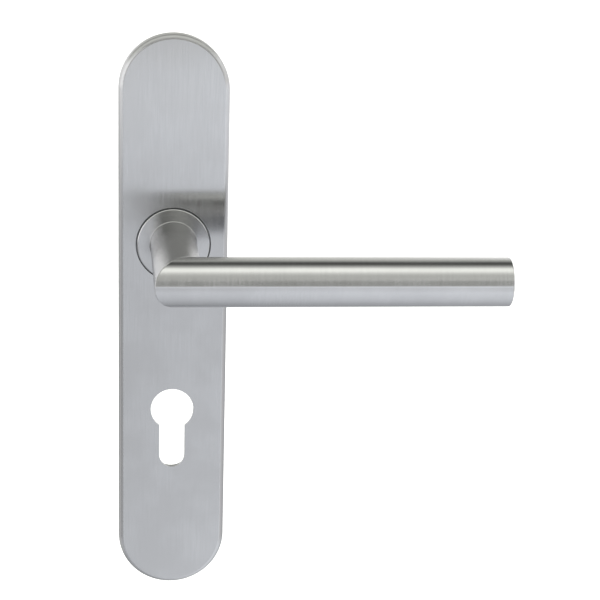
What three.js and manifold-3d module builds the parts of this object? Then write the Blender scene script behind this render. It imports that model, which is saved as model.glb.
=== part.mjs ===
// One side of a sprung lever handle on a long, round-ended backplate with a lock cylinder cut-out.
// Millimetres, +Z up, +X along the grip, -Y out of the door into the room. The origin is on the
// spindle's axis, in the plane of the door's face, which the mounting plate lies against.
//
// Three bodies meet on the spindle's axis: the mounting plate fixed to the door, the cover that
// clips over it and slides forward along the neck, and the lever that turns in the plate's bush.
import * as THREE from 'three';
import { mergeVertices } from 'three/addons/utils/BufferGeometryUtils.js';
import Module from 'manifold-3d';

// ---- Driving dimensions ----------------------------------------------------------------------

// Backplate: outer size of the cover
const PLATE_WIDTH = 45;
const PLATE_ABOVE = 86; // top of the plate above the spindle axis
const PLATE_BELOW = 152; // bottom of the plate below the spindle axis
const PLATE_DEPTH = 8;
const COVER_WALL = 1.2;
const COVER_EDGE_R = 2; // rounded front edge
const COLLAR_HOLE_D = 31;

// Cut-out for a profile cylinder
const CYLINDER_CENTRES = 72; // spindle axis down to the cylinder's barrel axis
const PROFILE_BARREL_D = 18;
const PROFILE_SLOT_W = 10.7;
const PROFILE_HEIGHT = 35;
const PROFILE_MARGIN = 2.2; // the mounting plate's cut-out is this much larger all round

// Lever
const TUBE_D = 19;
const TUBE_WALL = 1.5;
const LEVER_PROJECTION = 60.5; // cover's front face to the grip's axis
const GRIP_REACH = 127; // spindle axis to the grip's end
const END_CAP_T = 2;
const END_CAP_EDGE_R = 0.5;
const END_CAP_SPIGOT = 5;
const COLLAR_PROUD = 1; // collar disc in front of the cover's face
const COLLAR_EDGE_R = 0.4;
const HUB_LENGTH_IN_NECK = 22;
const HUB_WALL = 1.8; // metal outside the corners of the square socket
const HUB_BEHIND_DOOR_FACE = 0.6;
const HUB_GROOVE_DEPTH = 0.8;
const HUB_FLAT_DEPTH = 1.2; // depth of the two flats that carry the driver

// Spindle and its grub screw
const SPINDLE_W = 8;
const SPINDLE_IN_HUB = 19; // length held in front of the cover's face
const SPINDLE_BEHIND = 50; // length behind the door's face
const SPINDLE_CHAMFER = 0.8;
const GRUB_D = 5;
const GRUB_SUNK = 0.7; // below the neck's surface
const GRUB_FROM_COVER = 8; // in front of the cover's face

// Mounting plate
const WEB_T = 2; // floor left under the lightening pockets
const POCKET_MAX = 21;
const RIB_T = 2.5;
const RIM_T = 2.6;
const SCREW_CENTRES = 195; // upper to lower fixing screw
const UPPER_SCREW_Z = 64.5;
const SCREW_D = 5;
const SCREW_HEAD_D = 9.6;
const SCREW_HEAD_T = 2.6;
const SCREW_BEHIND = 44; // shank length behind the door's face
const SCREW_HEX = 3; // across flats of the key socket
const SCREW_BOSS_R = 8;

// Bush, spring cassette and travel stops
const BUSH_WALL = 2;
const BUSH_FLANGE_T = 0.8;
const COLLAR_OVER_FLANGE = 1.4; // the collar hides the bush's flange by this much all round
const WASHER_WIDTH = 3;
const WASHER_T = 1;
const DRIVER_T = 1.2;
const DRIVER_ARM_W = 4;
const SPRING_WIRE = 1;
const SPRING_ROOM = 2.8; // washer rim to the middle of the spring's wire
const PIN_D = 2;
const CIRCLIP_T = 0.6;
const CIRCLIP_WIDTH = 2.2;
const CASSETTE_COVER_T = 1;
const CASSETTE_LEDGE = 1.2;
const CASSETTE_EAR = 4; // metal round each of the cassette's screws
const CASSETTE_SCREW_D = 3;
const CASSETTE_SCREW_HEAD_D = 5.2;
const CASSETTE_SCREW_LENGTH = 4.2;
const LEVER_TRAVEL = 45; // degrees

// Cover clips
const CLIP_HEIGHT = 8;
const CLIP_T = 0.4;
const CLIP_DEPTH = 2.2; // how far a clip reaches in from the cover's wall
const CLIP_REAR = -1; // the notches the clips sit in end this far in front of the door's face
const CLIP_Z = [42, -108];

// Clearances
const GAP = 0.3; // between parts fixed to each other
const RUN = 0.15; // radial, where the lever turns
const SLIP = 0.2; // between flat faces that slide or face each other
const SEAT = 0.1; // between flat faces screwed or sprung together
const COLLAR_GAP = 0.6; // between the collar disc and the cover's hole

// ---- Derived sizes ---------------------------------------------------------------------------

const COVER_FRONT = -PLATE_DEPTH;
const COVER_INSIDE = COVER_FRONT + COVER_WALL;
const MOUNT_FRONT = COVER_INSIDE + GAP;
const MOUNT_INSET = COVER_WALL + GAP;
const MOUNT_HALF_W = PLATE_WIDTH / 2 - MOUNT_INSET;
const LOWER_SCREW_Z = UPPER_SCREW_Z - SCREW_CENTRES;

const GRIP_Y = COVER_FRONT - LEVER_PROJECTION;
const TUBE_R = TUBE_D / 2;
const TUBE_INNER_R = TUBE_R - TUBE_WALL;
const CORE_R = TUBE_INNER_R - GAP;
const COLLAR_FRONT = COVER_FRONT - COLLAR_PROUD;
const COLLAR_BACK = MOUNT_FRONT - SLIP;
const COLLAR_R = COLLAR_HOLE_D / 2 - COLLAR_GAP;

const GRUB_LENGTH = TUBE_R - GRUB_SUNK - SPINDLE_W / 2 - SLIP;

const SOCKET_W = SPINDLE_W + 2 * GAP;
const JOURNAL_R = (SOCKET_W / 2) * Math.SQRT2 + HUB_WALL;
const BORE_R = JOURNAL_R + RUN;
const BUSH_R = BORE_R + BUSH_WALL;
const FLANGE_R = COLLAR_R - COLLAR_OVER_FLANGE;
const WASHER_R = BORE_R + WASHER_WIDTH;
const SPRING_R = WASHER_R + SPRING_ROOM;
const PIN_ORBIT_R = SPRING_R + SPRING_WIRE / 2 + GAP + PIN_D / 2;
const CHAMBER_R = PIN_ORBIT_R + PIN_D / 2 + GAP;
const CASSETTE_R = CHAMBER_R + CASSETTE_LEDGE;
const CASSETTE_SCREW_Z = CASSETTE_R + CASSETTE_EAR;
const CASSETTE_TOP = CASSETTE_SCREW_Z + CASSETTE_EAR;

// Layers of the cassette, from the door's face forwards
const CASSETTE_BACK = -SEAT;
const CASSETTE_FRONT = CASSETTE_BACK - CASSETTE_COVER_T;
const RECESS_Y = CASSETTE_FRONT - SEAT;
const DRIVER_BACK = RECESS_Y - SLIP;
const DRIVER_FRONT = DRIVER_BACK - DRIVER_T;
const WASHER_BACK = DRIVER_FRONT - SLIP;
const WASHER_FRONT = WASHER_BACK - WASHER_T;
const CHAMBER_Y = WASHER_FRONT - SLIP;
const CIRCLIP_FRONT = DRIVER_BACK + SLIP;
const GROOVE_R = JOURNAL_R - HUB_GROOVE_DEPTH;
const SPRING_Y = (WASHER_BACK + WASHER_FRONT) / 2;

const ROUND = 36; // segments of a full circle
const CUT = 1; // how far a cutter runs past the face it opens

// ---- Materials -------------------------------------------------------------------------------

const finish = (color, roughness, metalness) =>
  new THREE.MeshStandardMaterial({ color, roughness, metalness });

const satinStainless = finish(0xb9bbc2, 0.35, 1);
const zincAlloy = finish(0x8e9092, 0.5, 0.9);
const nylon = finish(0x2a2b2d, 0.55, 0);
const springSteel = finish(0x7d7f82, 0.3, 1);
const platedSteel = finish(0xc3c6c4, 0.3, 1);

// ---- Helpers ---------------------------------------------------------------------------------

const wasm = await Module();
wasm.setup();

function solidOf(geometry) {
  const bare = geometry.clone();
  bare.deleteAttribute('normal');
  bare.deleteAttribute('uv');
  const merged = mergeVertices(bare, 1e-4);
  return new wasm.Manifold(
    new wasm.Mesh({
      numProp: 3,
      vertProperties: new Float32Array(merged.attributes.position.array),
      triVerts: new Uint32Array(merged.index.array),
    }),
  );
}

function geometryOf(solid) {
  const { vertProperties, triVerts } = solid.getMesh();
  const geometry = new THREE.BufferGeometry();
  geometry.setAttribute('position', new THREE.BufferAttribute(vertProperties, 3));
  geometry.setIndex(new THREE.BufferAttribute(triVerts, 1));
  geometry.computeVertexNormals();
  return geometry;
}

const cutFrom = (body, cutters) =>
  cutters.reduce((rest, cutter) => rest.subtract(solidOf(cutter)), body);
const joined = (geometries) => geometries.map(solidOf).reduce((whole, part) => whole.add(part));

function piece(name, geometry, material, x = 0, y = 0, z = 0) {
  const mesh = new THREE.Mesh(geometry, material);
  mesh.name = name;
  mesh.position.set(x, y, z);
  return mesh;
}

// A flat outline drawn in X and Z, given thickness from y = back forwards to y = front.
function slab(outline, back, front, curveSegments = ROUND / 2) {
  const geometry = new THREE.ExtrudeGeometry(outline, {
    depth: back - front,
    bevelEnabled: false,
    curveSegments,
  });
  return geometry.rotateX(Math.PI / 2).translate(0, back, 0);
}

// A round plug along Y, from y = back to y = front; a second radius makes it a cone.
function plug(radius, back, front, x = 0, z = 0, frontRadius = radius) {
  const geometry = new THREE.CylinderGeometry(radius, frontRadius, back - front, ROUND);
  return geometry.translate(x, (back + front) / 2, z);
}

function block(low, high) {
  const size = high.map((value, i) => value - low[i]);
  const middle = high.map((value, i) => (value + low[i]) / 2);
  return new THREE.BoxGeometry(...size).translate(...middle);
}

// A solid turned about Y from points of [radius, y] that rise in y along the outer side.
function turned(points, segments = ROUND) {
  return new THREE.LatheGeometry(points.map(([r, y]) => new THREE.Vector2(r, y)), segments);
}

// A flat ring about Y.
function ring(innerR, outerR, front, back) {
  return turned([[innerR, front], [outerR, front], [outerR, back], [innerR, back], [innerR, front]]);
}

// Points of a quarter circle about [r, y], from one angle to another, in degrees.
function arcPoints(r, y, radius, from, to, steps = 4) {
  return Array.from({ length: steps + 1 }, (_, i) => {
    const angle = THREE.MathUtils.degToRad(from + ((to - from) * i) / steps);
    return [r + radius * Math.cos(angle), y + radius * Math.sin(angle)];
  });
}

function stadium(halfWidth, top, bottom) {
  const outline = new THREE.Shape();
  outline.absarc(0, top - halfWidth, halfWidth, 0, Math.PI);
  outline.absarc(0, bottom + halfWidth, halfWidth, Math.PI, 2 * Math.PI);
  return outline;
}

// The profile cylinder's outline: a barrel with a round-footed slot below it.
function profileOutline(margin) {
  const barrelR = PROFILE_BARREL_D / 2 + margin;
  const slotR = PROFILE_SLOT_W / 2 + margin;
  const corner = Math.asin(slotR / barrelR);
  const footZ = -CYLINDER_CENTRES + PROFILE_BARREL_D / 2 - PROFILE_HEIGHT + PROFILE_SLOT_W / 2;
  const outline = new THREE.Shape();
  outline.absarc(0, -CYLINDER_CENTRES, barrelR, corner - Math.PI / 2, 1.5 * Math.PI - corner);
  outline.absarc(0, footZ, slotR, Math.PI, 2 * Math.PI);
  return outline;
}
const PROFILE_FOOT_Z = -CYLINDER_CENTRES + PROFILE_BARREL_D / 2 - PROFILE_HEIGHT;

// A circle with a flat on its left and right.
function flattedCircle(radius, halfFlats) {
  const corner = Math.acos(halfFlats / radius);
  const outline = new THREE.Shape();
  outline.absarc(0, 0, radius, corner, Math.PI - corner);
  outline.absarc(0, 0, radius, Math.PI + corner, 2 * Math.PI - corner);
  return outline;
}

// ---- Cover -----------------------------------------------------------------------------------

function coverPlate() {
  const outline = stadium(
    PLATE_WIDTH / 2 - COVER_EDGE_R,
    PLATE_ABOVE - COVER_EDGE_R,
    COVER_EDGE_R - PLATE_BELOW,
  );
  const blank = new THREE.ExtrudeGeometry(outline, {
    depth: PLATE_DEPTH,
    bevelThickness: COVER_EDGE_R,
    bevelSize: COVER_EDGE_R,
    bevelSegments: 4,
    curveSegments: ROUND / 2,
  });
  blank.rotateX(Math.PI / 2).translate(0, COVER_EDGE_R, 0);
  const inside = stadium(
    PLATE_WIDTH / 2 - COVER_WALL,
    PLATE_ABOVE - COVER_WALL,
    COVER_WALL - PLATE_BELOW,
  );
  const size = PLATE_ABOVE + PLATE_BELOW;
  const shell = cutFrom(solidOf(blank), [
    block([-size, 0, -size], [size, size, size]),
    slab(inside, CUT, COVER_INSIDE),
    plug(COLLAR_HOLE_D / 2, CUT, COVER_FRONT - CUT),
    slab(profileOutline(0), CUT, COVER_FRONT - CUT),
  ]);
  return piece('cover_plate', geometryOf(shell), satinStainless);
}

// ---- Mounting plate and what is fixed to it --------------------------------------------------

// Two columns of lightening pockets between two heights, with ribs no further apart than allowed.
function pockets(top, bottom) {
  const rows = Math.ceil((top - bottom - RIB_T) / (POCKET_MAX + RIB_T));
  const height = (top - bottom - (rows + 1) * RIB_T) / rows;
  const cutters = [];
  for (let row = 0; row < rows; row += 1) {
    const low = bottom + RIB_T + row * (height + RIB_T);
    for (const side of [-1, 1]) {
      const xs = [side * RIB_T * 0.5, side * (MOUNT_HALF_W - RIM_T)].sort((a, b) => a - b);
      cutters.push(block([xs[0], MOUNT_FRONT - CUT, low], [xs[1], -WEB_T, low + height]));
    }
  }
  return cutters;
}

// Stop and anchor pins stand beside an arm of the driver. Each is placed by the angle of the
// arm's centre line and the side it stands on, so that its side just clears the arm's side.
function pinAngle(armAngle, side) {
  const offset = DRIVER_ARM_W / 2 + PIN_D / 2 + GAP;
  return THREE.MathUtils.degToRad(armAngle) + side * Math.asin(offset / PIN_ORBIT_R);
}
const STOP_ARM_ANGLE = -90;
const SPRING_ARM_ANGLE = 90;
const PINS = {
  rest_stop_pin: pinAngle(STOP_ARM_ANGLE, 1),
  travel_stop_pin: pinAngle(STOP_ARM_ANGLE - LEVER_TRAVEL, -1),
  spring_anchor_pin: pinAngle(SPRING_ARM_ANGLE, 1),
};
const onOrbit = (angle) => [PIN_ORBIT_R * Math.cos(angle), PIN_ORBIT_R * Math.sin(angle)];
const PIN_FOOT = 1;

// The plate's outline of the recess that takes the cassette's cover sheet.
const cassetteOutline = (margin) =>
  stadium(CASSETTE_R + margin, CASSETTE_TOP + margin, -CASSETTE_TOP - margin);

function mountingPlate() {
  const outline = stadium(MOUNT_HALF_W, PLATE_ABOVE - MOUNT_INSET, MOUNT_INSET - PLATE_BELOW);
  const cassetteEdge = CASSETTE_TOP + RIB_T;
  const cutters = [
    plug(FLANGE_R + GAP, MOUNT_FRONT + BUSH_FLANGE_T + SLIP, MOUNT_FRONT - CUT),
    plug(BUSH_R + GAP, CUT, MOUNT_FRONT - CUT),
    plug(CHAMBER_R, CUT, CHAMBER_Y),
    slab(cassetteOutline(SLIP), CUT, RECESS_Y),
    slab(profileOutline(PROFILE_MARGIN), CUT, MOUNT_FRONT - CUT),
    ...pockets(UPPER_SCREW_Z - SCREW_BOSS_R, cassetteEdge),
    ...pockets(-cassetteEdge, -CYLINDER_CENTRES + PROFILE_BARREL_D / 2 + 2 * PROFILE_MARGIN),
    ...pockets(PROFILE_FOOT_Z - 2 * PROFILE_MARGIN, LOWER_SCREW_Z + SCREW_BOSS_R),
  ];
  for (const z of [UPPER_SCREW_Z, LOWER_SCREW_Z]) {
    const neck = MOUNT_FRONT + SCREW_HEAD_T + GAP;
    cutters.push(plug(SCREW_D / 2 + GAP, CUT, MOUNT_FRONT - CUT, 0, z));
    cutters.push(plug(SCREW_D / 2 + GAP, neck, MOUNT_FRONT, 0, z, SCREW_HEAD_D / 2 + GAP));
    cutters.push(plug(SCREW_HEAD_D / 2 + GAP, MOUNT_FRONT + GAP, MOUNT_FRONT - CUT, 0, z));
  }
  for (const z of [CASSETTE_SCREW_Z, -CASSETTE_SCREW_Z]) {
    const depth = CASSETTE_BACK - CASSETTE_SCREW_LENGTH - GAP;
    cutters.push(plug(CASSETTE_SCREW_D / 2 + GAP, CUT, depth, 0, z));
  }
  for (const angle of Object.values(PINS)) {
    const [x, z] = onOrbit(angle);
    cutters.push(plug(PIN_D / 2 + RUN, CHAMBER_Y + CUT, CHAMBER_Y - PIN_FOOT - RUN, x, z));
  }
  const notchX = PLATE_WIDTH / 2 - COVER_WALL - CLIP_DEPTH - GAP;
  const halfNotch = CLIP_HEIGHT / 2 + GAP;
  for (const z of CLIP_Z) {
    for (const side of [-1, 1]) {
      const xs = [side * notchX, side * (MOUNT_HALF_W + CUT)].sort((a, b) => a - b);
      cutters.push(block([xs[0], MOUNT_FRONT - CUT, z - halfNotch], [xs[1], CLIP_REAR, z + halfNotch]));
    }
  }
  const plate = cutFrom(solidOf(slab(outline, 0, MOUNT_FRONT)), cutters);
  return piece('mounting_plate', geometryOf(plate), zincAlloy);
}

function bearingBush() {
  const back = CHAMBER_Y;
  const flangeBack = MOUNT_FRONT + BUSH_FLANGE_T;
  const profile = [
    [BORE_R, MOUNT_FRONT],
    [FLANGE_R, MOUNT_FRONT],
    [FLANGE_R, flangeBack],
    [BUSH_R, flangeBack],
    [BUSH_R, back],
    [BORE_R, back],
    [BORE_R, MOUNT_FRONT],
  ];
  return piece('bearing_bush', turned(profile), nylon);
}

function pins() {
  const length = DRIVER_BACK - CHAMBER_Y + PIN_FOOT;
  return Object.entries(PINS).map(([name, angle]) => {
    const [x, z] = onOrbit(angle);
    const pin = new THREE.CylinderGeometry(PIN_D / 2, PIN_D / 2, length, 16);
    return piece(name, pin, platedSteel, x, CHAMBER_Y - PIN_FOOT + length / 2, z);
  });
}

// One open turn of wire round the washer. Its legs turn outwards either side of the spring arm
// and the anchor pin: the lever carries one leg away, and the pin holds the other.
function returnSpring() {
  const legEnd = PIN_ORBIT_R + PIN_D / 2 - SPRING_WIRE / 2;
  const armSide = DRIVER_ARM_W / 2 + SPRING_WIRE / 2 + GAP;
  const pinSide = DRIVER_ARM_W / 2 + 2 * GAP + PIN_D + SPRING_WIRE / 2 + GAP;
  const start = Math.PI / 2 + Math.asin(pinSide / SPRING_R);
  const end = 2.5 * Math.PI - Math.asin(armSide / SPRING_R);
  const bend = SPRING_WIRE / SPRING_R; // the leg's bend takes this much of the turn's angle
  const turns = Array.from({ length: 25 }, (_, i) => {
    const angle = start + bend + ((end - start - 2 * bend) * i) / 24;
    return new THREE.Vector3(SPRING_R * Math.cos(angle), 0, SPRING_R * Math.sin(angle));
  });
  const leg = (angle) => [0.35, 0.7, 1].map((share) => {
    const r = SPRING_R + (legEnd - SPRING_R) * share;
    return new THREE.Vector3(r * Math.cos(angle), 0, r * Math.sin(angle));
  });
  const path = new THREE.CatmullRomCurve3([...leg(start).reverse(), ...turns, ...leg(end)]);
  const section = new THREE.Shape().absarc(0, 0, SPRING_WIRE / 2, 0, 2 * Math.PI);
  const wire = new THREE.ExtrudeGeometry(section, { steps: 60, curveSegments: 4, extrudePath: path });
  return piece('return_spring', wire, springSteel, 0, SPRING_Y, 0);
}

function cassetteCover() {
  const sheet = solidOf(slab(cassetteOutline(0), CASSETTE_BACK, CASSETTE_FRONT));
  const hole = GROOVE_R + CIRCLIP_WIDTH + 2 * GAP;
  const cutters = [plug(hole, CUT, CASSETTE_FRONT - CUT)];
  for (const z of [CASSETTE_SCREW_Z, -CASSETTE_SCREW_Z]) {
    const headR = CASSETTE_SCREW_HEAD_D / 2 + GAP;
    cutters.push(plug(CASSETTE_SCREW_D / 2 + GAP, CUT, CASSETTE_FRONT - CUT, 0, z));
    cutters.push(plug(headR, CASSETTE_BACK + GAP, CASSETTE_FRONT, 0, z, CASSETTE_SCREW_D / 2 + GAP));
  }
  return piece('cassette_cover', geometryOf(cutFrom(sheet, cutters)), platedSteel);
}

// A countersunk screw along Y with a hexagon socket, its head's face at y = 0, shank towards +Y.
function countersunkScrew(diameter, headD, headT, length, hex, segments) {
  const tip = diameter / 8;
  const profile = [
    [0, 0],
    [headD / 2, 0],
    [diameter / 2, headT],
    [diameter / 2, length - tip],
    [diameter / 2 - tip, length],
    [0, length],
  ];
  const socket = new THREE.CylinderGeometry(hex / Math.sqrt(3), hex / Math.sqrt(3), headT, 6);
  return geometryOf(solidOf(turned(profile, segments)).subtract(solidOf(socket)));
}

function fixingScrews() {
  const front = MOUNT_FRONT + GAP;
  const length = SCREW_BEHIND - front;
  const screw = countersunkScrew(SCREW_D, SCREW_HEAD_D, SCREW_HEAD_T, length, SCREW_HEX, 32);
  return [
    piece('fixing_screw_upper', screw, platedSteel, 0, front, UPPER_SCREW_Z),
    piece('fixing_screw_lower', screw, platedSteel, 0, front, LOWER_SCREW_Z),
  ];
}

function cassetteScrews() {
  const screw = countersunkScrew(
    CASSETTE_SCREW_D, CASSETTE_SCREW_HEAD_D, CASSETTE_COVER_T, CASSETTE_SCREW_LENGTH, 2, 24,
  );
  screw.rotateX(Math.PI); // head towards the door
  return [
    piece('cassette_screw_upper', screw, platedSteel, 0, CASSETTE_BACK, CASSETTE_SCREW_Z),
    piece('cassette_screw_lower', screw, platedSteel, 0, CASSETTE_BACK, -CASSETTE_SCREW_Z),
  ];
}

// A spring clip: a strip bowed out against the cover's side wall and folded back on itself.
// Drawn for the right-hand side, with x measured from the cover's inner wall.
function clipStrip() {
  const reach = CLIP_DEPTH - CLIP_T;
  const front = MOUNT_FRONT + 0.8;
  const rear = CLIP_REAR - 0.6;
  const middle = (front + rear) / 2;
  const bow = -CLIP_T / 2 - SLIP;
  const path = new THREE.CatmullRomCurve3([
    new THREE.Vector3(bow - reach * 0.45, front, 0),
    new THREE.Vector3(bow - reach * 0.1, (front + middle) / 2, 0),
    new THREE.Vector3(bow, middle, 0),
    new THREE.Vector3(bow - reach * 0.1, (rear + middle) / 2, 0),
    new THREE.Vector3(bow - reach * 0.45, rear, 0),
    new THREE.Vector3(bow - reach * 0.9, rear - 0.25, 0),
    new THREE.Vector3(-CLIP_DEPTH + CLIP_T / 2, (rear + middle) / 2, 0),
    new THREE.Vector3(-CLIP_DEPTH + CLIP_T / 2, front + 0.4, 0),
  ]);
  const section = new THREE.Shape()
    .moveTo(-CLIP_HEIGHT / 2, -CLIP_T / 2)
    .lineTo(CLIP_HEIGHT / 2, -CLIP_T / 2)
    .lineTo(CLIP_HEIGHT / 2, CLIP_T / 2)
    .lineTo(-CLIP_HEIGHT / 2, CLIP_T / 2);
  return new THREE.ExtrudeGeometry(section, { steps: 28, extrudePath: path });
}

function coverClips() {
  const strip = clipStrip();
  const wallX = PLATE_WIDTH / 2 - COVER_WALL;
  const mirrored = geometryOf(solidOf(strip).mirror([1, 0, 0]));
  return CLIP_Z.flatMap((z, i) => {
    const level = i === 0 ? 'upper' : 'lower';
    return [
      piece(`cover_clip_${level}_left`, mirrored, springSteel, -wallX, 0, z),
      piece(`cover_clip_${level}_right`, strip, springSteel, wallX, 0, z),
    ];
  });
}

// ---- Lever -----------------------------------------------------------------------------------

// The half-space on one side of the mitre, as a block: side 1 is the grip's, -1 the neck's. It
// passes the joint's plane by half the gap, so both tubes stop that far short of the plane.
function mitreBlock(side) {
  const size = 2 * (GRIP_REACH + LEVER_PROJECTION);
  const shift = side * (size / 2 - GAP / 2);
  return new THREE.BoxGeometry(size, size, size).translate(shift, 0, 0).rotateZ(-Math.PI / 4);
}

function tube(length) {
  const outer = new THREE.CylinderGeometry(TUBE_R, TUBE_R, length, ROUND);
  const inner = new THREE.CylinderGeometry(TUBE_INNER_R, TUBE_INNER_R, length + 2 * CUT, ROUND);
  return solidOf(outer).subtract(solidOf(inner));
}

// The neck runs back along Y from the mitre to the collar; local origin at the mitre's centre.
function neckTube() {
  const back = COLLAR_FRONT - GAP - GRIP_Y;
  const length = back + 2 * TUBE_R;
  const blank = tube(length).translate([0, back - length / 2, 0]);
  const grubHole = plug(GRUB_D / 2 + GAP, 2 * TUBE_R, 0).rotateX(-Math.PI / 2);
  grubHole.translate(0, COVER_FRONT - GRUB_FROM_COVER - GRIP_Y, 0);
  const neck = cutFrom(blank, [mitreBlock(1), grubHole]);
  return piece('neck_tube', geometryOf(neck), satinStainless, 0, GRIP_Y, 0);
}

function gripTube() {
  const right = GRIP_REACH - END_CAP_T - GAP;
  const length = right + 2 * TUBE_R;
  const blank = tube(length).rotate([0, 0, 90]).translate([right - length / 2, 0, 0]);
  const grip = cutFrom(blank, [mitreBlock(-1)]);
  return piece('grip_tube', geometryOf(grip), satinStainless, 0, GRIP_Y, 0);
}

function gripEndCap() {
  const profile = [
    [0, -END_CAP_T - END_CAP_SPIGOT],
    [TUBE_INNER_R - GAP, -END_CAP_T - END_CAP_SPIGOT],
    [TUBE_INNER_R - GAP, -END_CAP_T],
    [TUBE_R, -END_CAP_T],
    ...arcPoints(TUBE_R - END_CAP_EDGE_R, -END_CAP_EDGE_R, END_CAP_EDGE_R, 0, 90),
    [0, 0],
  ];
  const cap = piece('grip_end_cap', turned(profile), satinStainless, GRIP_REACH, GRIP_Y, 0);
  cap.rotation.z = -Math.PI / 2;
  return cap;
}

function leverCollar() {
  const bore = JOURNAL_R + GAP;
  const profile = [
    [bore, COLLAR_FRONT],
    ...arcPoints(COLLAR_R - COLLAR_EDGE_R, COLLAR_FRONT + COLLAR_EDGE_R, COLLAR_EDGE_R, -90, 0),
    [COLLAR_R, COLLAR_BACK],
    [bore, COLLAR_BACK],
    [bore, COLLAR_FRONT],
  ];
  return piece('lever_collar', turned(profile), satinStainless);
}

function leverHub() {
  const front = COLLAR_FRONT - HUB_LENGTH_IN_NECK;
  const back = HUB_BEHIND_DOOR_FACE;
  const grooveFront = CIRCLIP_FRONT - SEAT;
  const grooveBack = CIRCLIP_FRONT + CIRCLIP_T + SEAT;
  const relief = Math.min(CORE_R, JOURNAL_R) - GAP; // undercut between the core and the journal
  const body = turned([
    [0, front],
    [CORE_R, front],
    [CORE_R, COLLAR_FRONT - GAP],
    [relief, COLLAR_FRONT - GAP],
    [relief, COLLAR_FRONT],
    [JOURNAL_R, COLLAR_FRONT],
    [JOURNAL_R, grooveFront],
    [GROOVE_R, grooveFront],
    [GROOVE_R, grooveBack],
    [JOURNAL_R, grooveBack],
    [JOURNAL_R, back],
    [0, back],
  ]);
  const halfSocket = SOCKET_W / 2;
  const socketFront = COVER_FRONT - SPINDLE_IN_HUB - GAP;
  const flat = JOURNAL_R - HUB_FLAT_DEPTH;
  const far = JOURNAL_R + CUT;
  const grubHole = plug(GRUB_D / 2 + GAP, 2 * TUBE_R, 0).rotateX(-Math.PI / 2);
  const hub = cutFrom(solidOf(body), [
    block([-halfSocket, socketFront, -halfSocket], [halfSocket, back + CUT, halfSocket]),
    block([flat, WASHER_BACK, -far], [far, back + CUT, far]),
    block([-far, WASHER_BACK, -far], [-flat, back + CUT, far]),
    grubHole.translate(0, COVER_FRONT - GRUB_FROM_COVER, 0),
  ]);
  return piece('lever_hub', geometryOf(hub), platedSteel);
}

function grubScrew() {
  const radius = GRUB_D / 2;
  const lowEnd = -SPINDLE_W / 2 - SLIP - GRUB_LENGTH;
  const body = new THREE.CylinderGeometry(radius, radius, GRUB_LENGTH, 32);
  const socket = new THREE.CylinderGeometry(radius * 0.55, radius * 0.55, GRUB_LENGTH, 6);
  socket.translate(0, -GRUB_LENGTH / 2, 0);
  const screw = piece('grub_screw', geometryOf(cutFrom(solidOf(body), [socket])), springSteel);
  screw.rotation.x = Math.PI / 2;
  screw.position.set(0, COVER_FRONT - GRUB_FROM_COVER, lowEnd + GRUB_LENGTH / 2);
  return screw;
}

function spindle() {
  const half = SPINDLE_W / 2 - SPINDLE_CHAMFER;
  const section = new THREE.Shape()
    .moveTo(-half, -half)
    .lineTo(half, -half)
    .lineTo(half, half)
    .lineTo(-half, half);
  const length = SPINDLE_BEHIND + PLATE_DEPTH + SPINDLE_IN_HUB;
  const bar = new THREE.ExtrudeGeometry(section, {
    depth: length - 2 * SPINDLE_CHAMFER,
    bevelThickness: SPINDLE_CHAMFER,
    bevelSize: SPINDLE_CHAMFER,
    bevelSegments: 1,
  });
  bar.rotateX(Math.PI / 2);
  return piece('spindle', bar, platedSteel, 0, SPINDLE_BEHIND - SPINDLE_CHAMFER, 0);
}

// The driver is carried round by the hub's flats. Its lower arm swings between the two stop
// pins, and a finger folded forward from its upper arm carries one leg of the spring.
function springDriver() {
  const half = DRIVER_ARM_W / 2;
  const tipR = PIN_ORBIT_R + PIN_D / 4;
  const fingerR = SPRING_R + SPRING_WIRE / 2 + GAP;
  const plate = joined([
    plug(WASHER_R, DRIVER_BACK, DRIVER_FRONT),
    block([-half, DRIVER_FRONT, -tipR], [half, DRIVER_BACK, tipR]),
    block([-half, WASHER_FRONT, fingerR], [half, DRIVER_BACK, tipR]),
  ]);
  const hole = flattedCircle(JOURNAL_R + GAP, JOURNAL_R - HUB_FLAT_DEPTH + GAP);
  const driver = cutFrom(plate, [slab(hole, DRIVER_BACK + CUT, DRIVER_FRONT - CUT)]);
  return piece('spring_driver', geometryOf(driver), platedSteel);
}

const thrustWasher = () =>
  piece('thrust_washer', ring(BORE_R, WASHER_R, WASHER_FRONT, WASHER_BACK), nylon);

function circlip() {
  const innerR = GROOVE_R + SEAT;
  const disc = solidOf(ring(innerR, GROOVE_R + CIRCLIP_WIDTH, 0, CIRCLIP_T));
  const mouth = block([-innerR * 0.45, -CUT, -2 * JOURNAL_R], [innerR * 0.45, CIRCLIP_T + CUT, 0]);
  return piece('circlip', geometryOf(disc.subtract(solidOf(mouth))), springSteel, 0, CIRCLIP_FRONT, 0);
}

// ---- Assembly --------------------------------------------------------------------------------

const fixedToDoor = new THREE.Group();
fixedToDoor.add(
  mountingPlate(),
  bearingBush(),
  ...pins(),
  returnSpring(),
  cassetteCover(),
  ...cassetteScrews(),
  ...fixingScrews(),
  ...coverClips(),
);

const lever = new THREE.Group();
lever.add(
  gripTube(),
  gripEndCap(),
  neckTube(),
  leverCollar(),
  leverHub(),
  spindle(),
  grubScrew(),
  thrustWasher(),
  springDriver(),
  circlip(),
);

const handle = new THREE.Group();
handle.add(coverPlate(), fixedToDoor, lever);

export default handle;
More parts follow.
